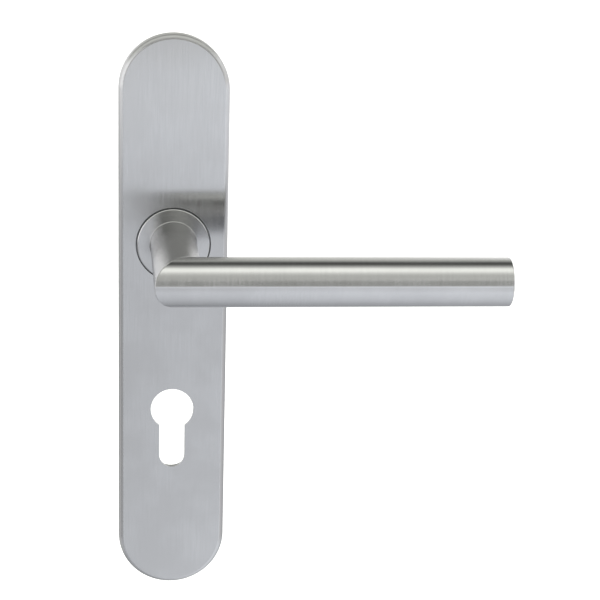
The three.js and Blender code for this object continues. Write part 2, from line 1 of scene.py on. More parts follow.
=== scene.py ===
# %% [markdown]
# # A lever handle on a long backplate
#
# This is one side of a door handle set: a tube lever with a mitred corner, turning in a long
# round-ended plate of brushed stainless steel, with an empty cut-out for a lock cylinder. The
# engineering model gives the sizes, the bodies and the joints. This script makes the surfaces
# that are seen: rounded edges, crisp cut-outs, real screw threads, and the finish of each metal.
#
# Everything is in metres in the model's own frame: +X along the grip, +Z up, and -Y out of the
# door towards the room. The origin is on the spindle's axis in the plane of the door's face.

# %% Load the engineering model
import math
from contextlib import contextmanager

import bmesh
import bpy
from mathutils import Matrix, Vector


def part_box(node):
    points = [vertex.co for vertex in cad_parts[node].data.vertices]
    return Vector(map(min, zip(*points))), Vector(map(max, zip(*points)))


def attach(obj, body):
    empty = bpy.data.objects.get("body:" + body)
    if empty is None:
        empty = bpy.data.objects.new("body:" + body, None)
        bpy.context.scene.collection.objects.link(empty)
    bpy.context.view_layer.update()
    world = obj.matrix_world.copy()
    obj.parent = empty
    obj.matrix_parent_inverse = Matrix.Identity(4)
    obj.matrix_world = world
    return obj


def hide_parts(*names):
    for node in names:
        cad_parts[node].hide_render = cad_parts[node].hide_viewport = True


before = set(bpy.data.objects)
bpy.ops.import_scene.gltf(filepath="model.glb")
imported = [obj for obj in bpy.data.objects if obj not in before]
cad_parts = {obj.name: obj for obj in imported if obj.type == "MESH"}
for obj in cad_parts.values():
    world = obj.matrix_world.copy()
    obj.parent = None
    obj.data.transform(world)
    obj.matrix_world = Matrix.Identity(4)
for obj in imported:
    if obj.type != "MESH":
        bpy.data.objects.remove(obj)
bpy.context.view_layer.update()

# %% [markdown]
# ## Sizes
#
# The large sizes are read from the model's boxes, so the surfaces always fit the model. Only the
# small things that a box can't tell, such as an edge radius, are named here.

# %% Sizes, from the model's boxes and a few named values
MM = 0.001
TINY = 0.001 * MM  # tolerance for comparing places and merging points
CUT = 1 * MM  # how far a cutter runs past the face it opens
GAP = 0.3 * MM  # between parts that are fixed to each other
SLIP = 0.2 * MM  # between faces that slide or only face each other

PLATE_LOW, PLATE_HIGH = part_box("cover_plate")
PLATE_R = PLATE_HIGH.x
COVER_FRONT = PLATE_LOW.y
COVER_WALL = 1.2 * MM
COVER_EDGE_R = 2.0 * MM
HOLE_EDGE_R = 0.22 * MM

COLLAR_LOW, COLLAR_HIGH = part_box("lever_collar")
COLLAR_R = COLLAR_HIGH.x
COLLAR_GAP = 0.6 * MM
COLLAR_EDGE_R = 0.4 * MM

NECK_LOW, NECK_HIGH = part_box("neck_tube")
CAP_LOW, CAP_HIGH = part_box("grip_end_cap")
TUBE_R = NECK_HIGH.x
TUBE_WALL = 1.5 * MM
GRIP_Y = (CAP_LOW.y + CAP_HIGH.y) / 2
GRIP_END = CAP_HIGH.x
CAP_T = 2.0 * MM
CAP_EDGE_R = 0.5 * MM
MITRE_EDGE_R = 0.4 * MM
WELD = 0.35 * MM

CYLINDER_Z = -72 * MM  # axis of the lock cylinder's barrel
BARREL_R = 9 * MM
SLOT_R = 5.35 * MM
SLOT_BOTTOM = CYLINDER_Z + BARREL_R - 35 * MM

print(f"plate {2000 * PLATE_R:.1f} mm wide, tube {2000 * TUBE_R:.1f} mm, grip axis at {1000 * GRIP_Y:.1f} mm")

# %% [markdown]
# ## The camera
#
# The object is seen from in front, a little from the left and from above, through a long lens
# that keeps the plate's sides nearly parallel. A camera could be aimed by a constraint, but then
# its roll would be lost, so it is placed by one matrix. The three turns are applied one after
# another: first the heading, then the tilt, then the slight roll about the line of sight.

# %% Camera
CAMERA_PLACE = Vector((-24.5, -654.4, 156.6)) * MM
HEADING = math.radians(6.86)
TILT = math.radians(-15.50)
ROLL = math.radians(1.71)

camera = bpy.data.objects.new("camera", bpy.data.cameras.new("camera"))
scene = bpy.context.scene
scene.collection.objects.link(camera)
camera.data.sensor_width = 36
camera.data.lens = 96.45
camera.data.clip_end = 100
camera.matrix_world = (
    Matrix.Translation(CAMERA_PLACE)
    @ Matrix.Rotation(-HEADING, 4, "Z")
    @ Matrix.Rotation(math.pi / 2 + TILT, 4, "X")
    @ Matrix.Rotation(ROLL, 4, "Z")
)
scene.camera = camera
print(f"camera: {camera.data.lens} mm lens, {-CAMERA_PLACE.y:.2f} m in front of the door")

# %% [markdown]
# ## Tools of the bench
#
# Modelling by operators means saying three things in code that a hand does without thinking:
# which object is worked on, which of its faces or edges are picked, and when edit mode begins
# and ends. These short helpers say them, so that each piece below reads as a list of steps.

# %% Helpers: choosing an object and working on it
def only(piece):
    """Selects one object alone and makes it the active one."""
    bpy.ops.object.select_all(action="DESELECT")
    piece.select_set(True)
    bpy.context.view_layer.objects.active = piece


@contextmanager
def editing(piece):
    """Edit mode on one piece, with nothing selected at the start."""
    only(piece)
    bpy.ops.object.mode_set(mode="EDIT")
    bpy.ops.mesh.select_mode(type="VERT")
    bpy.ops.mesh.select_all(action="DESELECT")
    yield
    bpy.ops.object.mode_set(mode="OBJECT")


def pick(piece, kind, test):
    """In edit mode, selects the VERT, EDGE or FACE elements that pass a test, and no others."""
    bpy.ops.mesh.select_mode(type=kind)
    bpy.ops.mesh.select_all(action="DESELECT")
    shape = bmesh.from_edit_mesh(piece.data)
    elements = {"VERT": shape.verts, "EDGE": shape.edges, "FACE": shape.faces}[kind]
    found = [element for element in elements if test(element)]
    for element in found:
        element.select_set(True)
    bmesh.update_edit_mesh(piece.data)
    return len(found)


def points_of(element):
    """The vertices of a vertex, an edge or a face."""
    return [element] if isinstance(element, bmesh.types.BMVert) else element.verts


def at_y(y, tolerance=TINY):
    """A test for elements that lie wholly in one plane across the Y axis."""
    return lambda element: all(abs(v.co.y - y) < tolerance for v in points_of(element))


def use_modifier(piece, kind, **settings):
    """Adds a modifier with these settings and applies it."""
    only(piece)
    modifier = piece.modifiers.new(kind.lower(), kind)
    for setting, value in settings.items():
        setattr(modifier, setting, value)
    bpy.ops.object.modifier_apply(modifier=modifier.name)


def cut(piece, *cutters):
    """Cuts solids out of a piece, one after another, and throws the cutters away."""
    for cutter in cutters:
        use_modifier(piece, "BOOLEAN", operation="DIFFERENCE", solver="EXACT", object=cutter)
        bpy.data.objects.remove(cutter)


def move(piece, offset):
    """Moves a piece, and puts its new place into its mesh."""
    only(piece)
    piece.location = offset
    bpy.ops.object.transform_apply(location=True, rotation=True, scale=True)


# %% Helpers: the shapes that most pieces start from
def keep_as(name):
    """Names the primitive just added, and moves its place and turn into its mesh."""
    piece = bpy.context.active_object
    piece.name = name
    piece.data.name = name
    only(piece)
    bpy.ops.object.transform_apply(location=True, rotation=True, scale=True)
    return piece


def rod(name, radius, start, end, axis="Y", steps=96, caps="NGON", end_radius=None):
    """A round bar between two points on a line along one axis, or a cone if its ends differ."""
    turn = {"X": (0, math.pi / 2, 0), "Y": (-math.pi / 2, 0, 0), "Z": (0, 0, 0)}[axis]
    start, end = Vector(start), Vector(end)
    bpy.ops.mesh.primitive_cone_add(
        vertices=steps, radius1=radius, radius2=radius if end_radius is None else end_radius,
        depth=(end - start).length, end_fill_type=caps, location=(start + end) / 2, rotation=turn,
    )
    return keep_as(name)


def round_ended_block(name, radius, top, bottom, front, back, steps=128):
    """A block with round ends: a bar whose lower half is moved down."""
    middle = top - radius
    bpy.ops.mesh.primitive_cylinder_add(
        vertices=steps, radius=radius, depth=back - front,
        location=(0, (front + back) / 2, middle),
        rotation=(math.pi / 2, math.pi / steps, 0),
    )
    block = keep_as(name)
    with editing(block):
        pick(block, "VERT", lambda v: v.co.z < middle)
        bpy.ops.transform.translate(value=(0, 0, bottom + radius - middle))
    return block


def brick(name, low, high, corner_r=0):
    """A block between two corners, with its four edges along Y rounded."""
    low, high = Vector(low), Vector(high)
    bpy.ops.mesh.primitive_cube_add(size=1, location=(low + high) / 2)
    block = bpy.context.active_object
    block.scale = high - low
    block = keep_as(name)
    if corner_r:
        with editing(block):
            pick(block, "EDGE", lambda e: abs(e.verts[0].co.y - e.verts[1].co.y) > (high - low).y / 2)
            bpy.ops.mesh.bevel(offset=corner_r, segments=6, affect="EDGES")
    return block


def outline(name, points):
    """Draws an open outline by pulling one vertex from point to point in the X-Y plane."""
    bpy.ops.mesh.primitive_plane_add(size=1 * MM, location=(*points[0], 0))
    line = keep_as(name)
    with editing(line):
        bpy.ops.mesh.select_all(action="SELECT")
        bpy.ops.mesh.merge(type="CENTER")
        for start, end in zip(points, points[1:]):
            step = (end[0] - start[0], end[1] - start[1], 0)
            bpy.ops.mesh.extrude_region_move(TRANSFORM_OT_translate={"value": step})
    return line


def turned(name, points, steps=64, pitch=0.0, turns=1):
    """Turns an outline round the Y axis, as a lathe does, or winds it along as a thread."""
    piece = outline(name, points)
    use_modifier(
        piece, "SCREW", axis="Y", angle=2 * math.pi, steps=steps, render_steps=steps,
        screw_offset=pitch, iterations=turns, use_merge_vertices=True, merge_threshold=TINY,
    )
    return piece


# %% [markdown]
# ## Finishing a piece
#
# Every piece ends in the same way. Doubled points are merged and the faces made to point out.
# Edges sharper than a limit stay crisp, the rest are smoothed, and the normals are weighted by
# area, which keeps large flat faces flat right up to their rounded edges. Then the piece is told
# which body it moves with, and the nodes of the model that it stands for are hidden.

# %% Helper: finish
def finish(piece, body, replaced, angle=30):
    """Closes a piece's mesh, shades it, ties it to its body, and hides the nodes it replaces."""
    with editing(piece):
        bpy.ops.mesh.select_all(action="SELECT")
        bpy.ops.mesh.remove_doubles(threshold=TINY / 10)
        bpy.ops.mesh.normals_make_consistent(inside=False)
    only(piece)
    bpy.ops.object.shade_smooth_by_angle(angle=math.radians(angle))
    use_modifier(piece, "WEIGHTED_NORMAL", keep_sharp=True)
    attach(piece, body)
    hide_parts(*replaced)
    print(f"{piece.name}: {len(piece.data.polygons)} faces, rides on {body}")
    return piece


# %% [markdown]
# ## The cover
#
# The real cover is drawn from stainless sheet, so its front edge is a smooth radius and its wall
# is thin and even. It starts as a solid block with round ends. Its front edge is bevelled into
# the radius first, its back is opened, and Solidify then gives the wall, so that the inside
# follows the rounded outside as pressed sheet does. The cut-outs come last, with sharp walls and
# only a hair of rounding where the polishing belt has touched them.

# %% The cover
def make_cover():
    cover = round_ended_block(
        "cover", PLATE_R, PLATE_HIGH.z, PLATE_LOW.z, COVER_FRONT, PLATE_HIGH.y
    )
    with editing(cover):
        pick(cover, "EDGE", at_y(COVER_FRONT))
        bpy.ops.mesh.bevel(offset=COVER_EDGE_R, segments=10, affect="EDGES")
        pick(cover, "FACE", at_y(PLATE_HIGH.y))
        bpy.ops.mesh.delete(type="ONLY_FACE")
    use_modifier(cover, "SOLIDIFY", thickness=COVER_WALL, offset=-1, use_even_offset=True)

    front, back = COVER_FRONT - CUT, COVER_FRONT + COVER_WALL + CUT
    cut(
        cover,
        rod("collar hole", COLLAR_R + COLLAR_GAP, (0, front, 0), (0, back, 0), steps=128),
        rod("barrel hole", BARREL_R, (0, front, CYLINDER_Z), (0, back, CYLINDER_Z), steps=128),
        round_ended_block("slot", SLOT_R, CYLINDER_Z + SLOT_R, SLOT_BOTTOM, front, back, steps=64),
    )

    def on_a_hole(edge):
        return at_y(COVER_FRONT)(edge) and any(abs(f.normal.y) < 0.1 for f in edge.link_faces)

    with editing(cover):
        bpy.ops.mesh.select_all(action="SELECT")
        bpy.ops.mesh.remove_doubles(threshold=TINY)
        rounded = pick(cover, "EDGE", on_a_hole)
        bpy.ops.mesh.bevel(offset=HOLE_EDGE_R, segments=3, affect="EDGES", clamp_overlap=True)
    print("edges rounded round the cut-outs:", rounded)
    return finish(cover, "cover", ["cover_plate"])


cover = make_cover()

# %% [markdown]
# ## The lever's two tubes
#
# Neck and grip are one size of tube, each sawn at 45 degrees and welded edge to edge. A curve
# with a round profile would make the corner in one go, but it would bend the corner instead of
# mitring it. So both start as a long open cylinder that Solidify turns into a tube. Bisect then
# saws it along the mitre's plane, and bridging the two sawn rims closes the cut. The sharp outer
# rim gets a little rounding: where two such rims meet, the crease of the polished weld shows.

# %% The lever's tubes
MITRE = Vector((0, GRIP_Y, 0))
TOWARDS_GRIP = Vector((1, -1, 0)).normalized()


def from_tube_axis(point, along_x):
    """Distance of a point from the grip's axis, or from the neck's."""
    across = Vector((0, point.y - GRIP_Y, point.z)) if along_x else Vector((point.x, 0, point.z))
    return across.length


def saw_and_close(tube, keep_grip_side):
    """Saws a tube along the mitre, closes the sawn end, and softens its outer rim."""

    def on_the_mitre(element):
        return all(abs((v.co - MITRE).dot(TOWARDS_GRIP)) < TINY for v in points_of(element))

    def outer_rim(edge):
        radii = [from_tube_axis(v.co, keep_grip_side) for v in edge.verts]
        return on_the_mitre(edge) and min(radii) > TUBE_R - TUBE_WALL / 2

    with editing(tube):
        bpy.ops.mesh.select_all(action="SELECT")
        bpy.ops.mesh.bisect(
            plane_co=MITRE, plane_no=TOWARDS_GRIP,
            clear_inner=keep_grip_side, clear_outer=not keep_grip_side,
        )
        pick(tube, "EDGE", lambda e: on_the_mitre(e) and e.is_boundary)
        bpy.ops.mesh.bridge_edge_loops()
        pick(tube, "EDGE", outer_rim)
        bpy.ops.mesh.bevel(offset=MITRE_EDGE_R, segments=4, affect="EDGES")


def open_tube(name, start, end, axis):
    """A length of tube with both ends open."""
    tube = rod(name, TUBE_R, start, end, axis, steps=128, caps="NOTHING")
    use_modifier(tube, "SOLIDIFY", thickness=TUBE_WALL, offset=-1, use_even_offset=True)
    return tube


def make_grip():
    grip = open_tube("grip", (-2 * TUBE_R, GRIP_Y, 0), (GRIP_END - CAP_T, GRIP_Y, 0), "X")
    saw_and_close(grip, keep_grip_side=True)
    return finish(grip, "lever", ["grip_tube"])


grip = make_grip()

# %% [markdown]
# The neck has two more features. Its foot flares by a third of a millimetre where the weld to
# the collar has been polished into a small fillet, and on its underside a hole gives a key the
# way to the grub screw that clamps the spindle.

# %% The neck
GRUB_LOW, GRUB_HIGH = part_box("grub_screw")
GRUB_Y = (GRUB_LOW.y + GRUB_HIGH.y) / 2
GRUB_R = GRUB_HIGH.x


def make_neck():
    foot = COLLAR_LOW.y
    neck = open_tube("neck", (0, GRIP_Y - 2 * TUBE_R, 0), (0, foot, 0), "Y")
    saw_and_close(neck, keep_grip_side=False)
    with editing(neck):
        bpy.ops.mesh.select_all(action="SELECT")
        bpy.ops.mesh.bisect(plane_co=(0, foot - WELD, 0), plane_no=(0, 1, 0))
        at_foot = at_y(foot)
        pick(neck, "VERT", lambda v: at_foot(v) and from_tube_axis(v.co, False) > TUBE_R - TINY)
        flare = 1 + WELD / TUBE_R
        bpy.ops.transform.resize(value=(flare, 1, flare), center_override=(0, foot, 0))
    cut(neck, rod("key hole", GRUB_R + GAP, (0, GRUB_Y, -2 * TUBE_R), (0, GRUB_Y, 0), "Z", steps=48))
    return finish(neck, "lever", ["neck_tube"], angle=50)


neck = make_neck()

# %% [markdown]
# ## The grip's end
#
# The end of the tube is closed by a turned disc, welded in and polished flush, with a small
# radius all round. Its section could be drawn and turned, but it is simple enough to start as a
# short bar. The outer edge is bevelled, and its inner face is inset and pushed back to make the
# spigot that sits inside the tube.

# %% The grip's end cap
def make_end_cap():
    seat = GRIP_END - CAP_T
    cap = rod("grip_end", TUBE_R, (seat, GRIP_Y, 0), (GRIP_END, GRIP_Y, 0), "X", steps=128)
    with editing(cap):
        pick(cap, "EDGE", lambda e: all(v.co.x > GRIP_END - TINY for v in e.verts))
        bpy.ops.mesh.bevel(offset=CAP_EDGE_R, segments=8, affect="EDGES")
        pick(cap, "FACE", lambda f: f.normal.x < -0.9)
        bpy.ops.mesh.inset(thickness=TUBE_WALL + GAP)
        bpy.ops.mesh.extrude_region_move(TRANSFORM_OT_translate={"value": (CAP_LOW.x - seat, 0, 0)})
    return finish(cap, "lever", ["grip_end_cap"])


end_cap = make_end_cap()

# %% [markdown]
# ## The collar
#
# The collar is a turned ring welded round the neck's foot. It sits in the cover's round hole
# with an even dark gap, and stands about a millimetre proud. Two cylinders and a boolean would
# make it too, but as it is a turned part, its section is drawn once and turned round the axis,
# which leaves a clean rim for the bevel on its front edge.

# %% The collar
HUB_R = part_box("lever_hub")[1].x


def make_collar():
    bore = HUB_R + GAP
    section = [
        (bore, COLLAR_LOW.y), (COLLAR_R, COLLAR_LOW.y), (COLLAR_R, COLLAR_HIGH.y),
        (bore, COLLAR_HIGH.y), (bore, COLLAR_LOW.y),
    ]
    collar = turned("collar", section, steps=128)
    on_front = at_y(COLLAR_LOW.y)

    def on_front_rim(edge):
        radii = [math.hypot(v.co.x, v.co.z) for v in edge.verts]
        return on_front(edge) and min(radii) > COLLAR_R - TINY

    with editing(collar):
        pick(collar, "EDGE", on_front_rim)
        bpy.ops.mesh.bevel(offset=COLLAR_EDGE_R, segments=6, affect="EDGES")
    return finish(collar, "lever", ["lever_collar"])


collar = make_collar()

# %% [markdown]
# ## Screws with real threads
#
# Two long machine screws hold the plate to the door, and two short ones hold the spring
# cassette's cover. A bump map could hint at their threads, but a thread shows in outline. It is
# one small V wound along its axis, so the V is drawn once and the Screw modifier winds it, one
# pitch for each turn. Two bisects trim the winding to length and cap it, an intersection with a
# chamfered bar gives it its lead-in, and the turned countersunk head is united with it. Last, a
# six-sided bar cuts the key's socket.

# %% A countersunk machine screw, head's face at the origin and shank along +Y
# One turn of the thread's outline: share of the thread's depth, and pitches along the axis
VEE = [(0, -1), (0, -0.9), (1, -0.52), (1, -0.42), (0, 0)]
THREAD_DEPTH = 0.6  # of a pitch
TIP_CHAMFER = 0.15  # of the diameter
HEAD_RIM = 1 / 12  # of the head's height, left straight at its edge
NECK_OVERLAP = 1.3  # of the head's height, so that head and thread join
SOCKET_DEPTH = 0.7  # of the head's height


def machine_screw(name, diameter, pitch, head_d, head_t, length, key):
    crest, root = diameter / 2, diameter / 2 - THREAD_DEPTH * pitch
    vee = [(root + depth * (crest - root), along * pitch) for depth, along in VEE]
    turns = math.ceil(length / pitch) + 2
    screw = turned(name, vee, steps=28, pitch=pitch, turns=turns)
    with editing(screw):
        for y, is_far_end in ((head_t / 2, False), (length, True)):
            bpy.ops.mesh.select_all(action="SELECT")
            bpy.ops.mesh.bisect(
                plane_co=(0, y, 0), plane_no=(0, 1, 0), use_fill=True,
                clear_inner=not is_far_end, clear_outer=is_far_end,
            )
        bpy.ops.mesh.select_all(action="SELECT")
        bpy.ops.mesh.normals_make_consistent(inside=False)
    tip = TIP_CHAMFER * diameter
    blank = turned(
        "screw blank",
        [(0, 0), (crest, 0), (crest, length - tip), (crest - tip, length), (0, length)],
        steps=56,
    )
    use_modifier(screw, "BOOLEAN", operation="INTERSECT", solver="EXACT", object=blank)
    bpy.data.objects.remove(blank)
    rim = head_t * HEAD_RIM
    head_end = head_t * NECK_OVERLAP
    cone = [(head_d / 2 - rim, 0), (head_d / 2, rim), (root, head_t)]
    head = turned("screw head", [(0, 0), *cone, (root, head_end), (0, head_end)], steps=56)
    with editing(head):
        bpy.ops.mesh.select_all(action="SELECT")
        bpy.ops.mesh.normals_make_consistent(inside=False)
    use_modifier(screw, "BOOLEAN", operation="UNION", solver="EXACT", object=head)
    bpy.data.objects.remove(head)
    socket_r = key / math.sqrt(3)
    cut(screw, rod("key socket", socket_r, (0, -CUT, 0), (0, head_t * SOCKET_DEPTH, 0), steps=6))
    return screw


def copy_of(piece, name):
    """A copy with a mesh of its own."""
    twin = piece.copy()
    twin.data = piece.data.copy()
    twin.name = name
    scene.collection.objects.link(twin)
    return twin


# %% The two fixing screws and the two cassette screws
def centre_of(node):
    low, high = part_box(node)
    return (low + high) / 2


def place_screws(screw, kind, head_y):
    """Sets a copy of a screw at the model's upper one, and the screw itself at the lower one."""
    pieces = []
    for level, piece in (("upper", copy_of(screw, kind)), ("lower", screw)):
        node = f"{kind}_{level}"
        piece.name = f"{level}_{kind}"
        move(piece, (0, head_y, centre_of(node).z))
        pieces.append(finish(piece, "mounting", [node], angle=35))
    return pieces


M5_D, M5_PITCH, M5_HEAD_T, M5_KEY = 5 * MM, 0.8 * MM, 2.6 * MM, 3 * MM
SCREW_LOW, SCREW_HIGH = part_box("fixing_screw_upper")
fixing_screw = machine_screw(
    "fixing screw", M5_D, M5_PITCH, SCREW_HIGH.x * 2, M5_HEAD_T, SCREW_HIGH.y - SCREW_LOW.y, M5_KEY
)
fixing_screws = place_screws(fixing_screw, "fixing_screw", SCREW_LOW.y)

M3_D, M3_PITCH, M3_HEAD_T, M3_KEY = 3 * MM, 0.5 * MM, 1 * MM, 2 * MM
SMALL_LOW, SMALL_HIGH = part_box("cassette_screw_upper")
small_screw = machine_screw(
    "cassette screw", M3_D, M3_PITCH, SMALL_HIGH.x * 2, M3_HEAD_T, SMALL_HIGH.y - SMALL_LOW.y, M3_KEY
)
small_screw.rotation_euler = (math.pi, 0, 0)
cassette_screws = place_screws(small_screw, "cassette_screw", SMALL_HIGH.y)

# %% [markdown]
# ## The spindle
#
# The spindle is a bar of square cold-drawn steel. Drawn bar has its four long edges broken, and
# its ends are sawn and chamfered. One bevel of all the edges would make both chamfers alike, so a
# box at the model's size gets one bevel along the bar and one round its ends, then a finer one
# all over for the hair of rounding that every real edge has.

# %% The spindle
DRAWN_EDGE = 0.8 * MM  # chamfer along the bar
SAWN_EDGE = 0.7 * MM  # chamfer round its ends
HAIR = 0.1 * MM


def make_spindle():
    low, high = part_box("spindle")
    bar = brick("square_bar", low, high)
    with editing(bar):
        pick(bar, "EDGE", lambda e: abs(e.verts[0].co.y - e.verts[1].co.y) > 1 * MM)
        bpy.ops.mesh.bevel(offset=DRAWN_EDGE, segments=1, affect="EDGES")
        pick(bar, "EDGE", lambda e: at_y(high.y)(e) or at_y(low.y)(e))
        bpy.ops.mesh.bevel(offset=SAWN_EDGE, segments=1, affect="EDGES")
        bpy.ops.mesh.select_mode(type="EDGE")
        bpy.ops.mesh.select_all(action="SELECT")
        bpy.ops.mesh.bevel(offset=HAIR, segments=2, affect="EDGES")
    return finish(bar, "lever", ["spindle"])


spindle = make_spindle()

# %% [markdown]
# ## The mounting plate
#
# Behind the cover sits a die-cast zinc plate. Casting wants even walls, so its front is hollowed
# by rows of pockets with ribs between them, and every edge is a little round. Insets and extrudes
# could sink the pockets, but not the round holes that run into them. So the plate starts as a
# block with round ends, each hole, pocket and notch is cut from it, and one Bevel limited to
# sharp angles rounds all the edges at once, as the die would.

# %% The mounting plate's pockets
WEB_T = 2 * MM
RIB_T = 2.5 * MM
RIM_T = 2.6 * MM
POCKET_MAX = 21 * MM
SCREW_BOSS_R = 8 * MM
POCKET_CORNER_R = 1.5 * MM
MOUNT_LOW, MOUNT_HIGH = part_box("mounting_plate")
CASSETTE_LOW, CASSETTE_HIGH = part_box("cassette_cover")
UPPER_SCREW_Z = centre_of("fixing_screw_upper").z
LOWER_SCREW_Z = centre_of("fixing_screw_lower").z


def pocket_cutters(top, bottom):
    """Two columns of pockets between two heights, with ribs no further apart than allowed."""
    rows = math.ceil((top - bottom - RIB_T) / (POCKET_MAX + RIB_T))
    height = (top - bottom - (rows + 1) * RIB_T) / rows
    cutters = []
    for row in range(rows):
        low = bottom + RIB_T + row * (height + RIB_T)
        for side in (-1, 1):
            near, far = sorted((side * RIB_T / 2, side * (MOUNT_HIGH.x - RIM_T)))
            corners = ((near, MOUNT_LOW.y - CUT, low), (far, -WEB_T, low + height))
            cutters.append(brick("pocket", *corners, corner_r=POCKET_CORNER_R))
    return cutters


# %% The mounting plate
BUSH_LOW, BUSH_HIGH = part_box("bearing_bush")
BUSH_FLANGE_T = 0.8 * MM
PROFILE_MARGIN = 2.2 * MM
CAST_EDGE_R = 0.2 * MM
CASSETTE_SEAT = 1.2 * MM  # ledge that the cassette's cover rests on
WASHER_SEAT = 1 * MM  # ledge that the thrust washer rests on
PIN_HOLE_R = 1.15 * MM
PIN_PLAY = 0.15 * MM
CLIP_FOOT = 1.13 * MM  # from a clip's middle to its inner side
NOTCH_BACK = -1 * MM
STOP_PINS = ("rest_stop_pin", "travel_stop_pin", "spring_anchor_pin")


def hole(radius, front, back, x=0.0, z=0.0, back_radius=None, steps=64):
    """A cutter for a round hole along Y, or for a countersink if its back radius differs."""
    return rod("hole", radius, (x, front, z), (x, back, z), steps=steps, end_radius=back_radius)


def screw_hole_cutters(z):
    """A clearance hole, its countersink, and the recess for the head's rim."""
    front, past = MOUNT_LOW.y - CUT, MOUNT_HIGH.y + CUT
    head_r, shank_r = SCREW_HIGH.x + GAP, M5_D / 2 + GAP
    seat = MOUNT_LOW.y + M5_HEAD_T + GAP
    return [
        hole(shank_r, front, past, z=z),
        hole(head_r, MOUNT_LOW.y, seat, z=z, back_radius=shank_r),
        hole(head_r, front, MOUNT_LOW.y + GAP, z=z),
    ]


def make_mounting_plate():
    plate = round_ended_block(
        "casting", MOUNT_HIGH.x, MOUNT_HIGH.z, MOUNT_LOW.z, MOUNT_LOW.y, MOUNT_HIGH.y
    )
    front, past = MOUNT_LOW.y - CUT, MOUNT_HIGH.y + CUT
    chamber_r = CASSETTE_HIGH.x - CASSETTE_SEAT
    chamber_front = BUSH_HIGH.y
    cassette_edge = CASSETTE_HIGH.z + RIB_T
    cassette_r = CASSETTE_HIGH.x + SLIP
    slot_r = SLOT_R + PROFILE_MARGIN
    slot_top = CYLINDER_Z + slot_r
    cut(
        plate,
        hole(BUSH_HIGH.x + GAP, front, MOUNT_LOW.y + BUSH_FLANGE_T + SLIP, steps=96),
        hole(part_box("thrust_washer")[1].x - WASHER_SEAT + GAP, front, past, steps=96),
        hole(chamber_r, chamber_front, past, steps=96),
        round_ended_block(
            "cassette recess", cassette_r, CASSETTE_HIGH.z + SLIP, CASSETTE_LOW.z - SLIP,
            CASSETTE_LOW.y - SLIP / 2, past, steps=96,
        ),
        hole(BARREL_R + PROFILE_MARGIN, front, past, z=CYLINDER_Z, steps=96),
        round_ended_block("slot", slot_r, slot_top, SLOT_BOTTOM - PROFILE_MARGIN, front, past, steps=64),
        *screw_hole_cutters(UPPER_SCREW_Z),
        *screw_hole_cutters(LOWER_SCREW_Z),
        *pocket_cutters(UPPER_SCREW_Z - SCREW_BOSS_R, cassette_edge),
        *pocket_cutters(-cassette_edge, CYLINDER_Z + BARREL_R + 2 * PROFILE_MARGIN),
        *pocket_cutters(SLOT_BOTTOM - 2 * PROFILE_MARGIN, LOWER_SCREW_Z + SCREW_BOSS_R),
    )
    for node in ("cassette_screw_upper", "cassette_screw_lower"):
        cut(plate, hole(M3_D / 2 + GAP, SMALL_LOW.y - GAP, past, z=centre_of(node).z, steps=32))
    for node in STOP_PINS:
        pin = centre_of(node)
        pin_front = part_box(node)[0].y
        cut(plate, hole(PIN_HOLE_R, pin_front - PIN_PLAY, chamber_front + CUT, pin.x, pin.z, steps=32))
    for level in ("upper", "lower"):
        for side, sign in (("left", -1), ("right", 1)):
            node = f"cover_clip_{level}_{side}"
            low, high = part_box(node)
            inner = abs(centre_of(node).x) - CLIP_FOOT - GAP
            left, right = sorted((sign * inner, sign * (MOUNT_HIGH.x + CUT)))
            cut(plate, brick("notch", (left, front, low.z - GAP), (right, NOTCH_BACK, high.z + GAP)))
    use_modifier(
        plate, "BEVEL", width=CAST_EDGE_R, segments=2, limit_method="ANGLE",
        angle_limit=math.radians(50), use_clamp_overlap=True, harden_normals=False,
    )
    return finish(plate, "mounting", ["mounting_plate"])


mounting_plate = make_mounting_plate()

# %% [markdown]
# ## The spring cassette's cover
#
# The return spring is kept in its chamber by a stamped plate with two countersunk holes. Stamping
# leaves one softly rounded edge and one sharp one. A Bevel modifier would round both sides, so
# the edges of the outer face alone are picked and bevelled in edit mode.

# %% The cassette's cover
COUNTERSINK_R = 2.9 * MM
STAMPED_EDGE_R = 0.15 * MM


def make_cassette_cover():
    sheet = round_ended_block(
        "cassette_plate", CASSETTE_HIGH.x, CASSETTE_HIGH.z, CASSETTE_LOW.z,
        CASSETTE_LOW.y, CASSETTE_HIGH.y, steps=96,
    )
    ring_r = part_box("circlip")[1].x + 2 * GAP
    cutters = [hole(ring_r, CASSETTE_LOW.y - CUT, CASSETTE_HIGH.y + CUT, steps=96)]
    for node in ("cassette_screw_upper", "cassette_screw_lower"):
        z, shank_r = centre_of(node).z, M3_D / 2 + GAP
        cutters.append(hole(shank_r, CASSETTE_LOW.y - CUT, CASSETTE_HIGH.y + CUT, z=z, steps=48))
        cutters.append(hole(
            shank_r, CASSETTE_LOW.y, CASSETTE_HIGH.y + GAP, z=z, back_radius=COUNTERSINK_R, steps=48
        ))
    cut(sheet, *cutters)
    with editing(sheet):
        outer_face = at_y(CASSETTE_HIGH.y)
        pick(sheet, "EDGE", lambda e: outer_face(e) and any(f.normal.y < 0.95 for f in e.link_faces))
        bpy.ops.mesh.bevel(offset=STAMPED_EDGE_R, segments=2, affect="EDGES")
    return finish(sheet, "mounting", ["cassette_cover"])


cassette_plate = make_cassette_cover()

# %% [markdown]
# ## Small turned and stamped parts
#
# The hub, its circlip, the bush, the washer, the driver, the clips and the grub screw already have
# the right shape in the model, but their edges are razor sharp, and a razor edge catches no light.
# Modelling them anew would only repeat the model. So each gets a copy of its mesh: the loose
# triangles are merged, flat faces are dissolved into one, and a Bevel gives every sharp edge a
# narrow round.

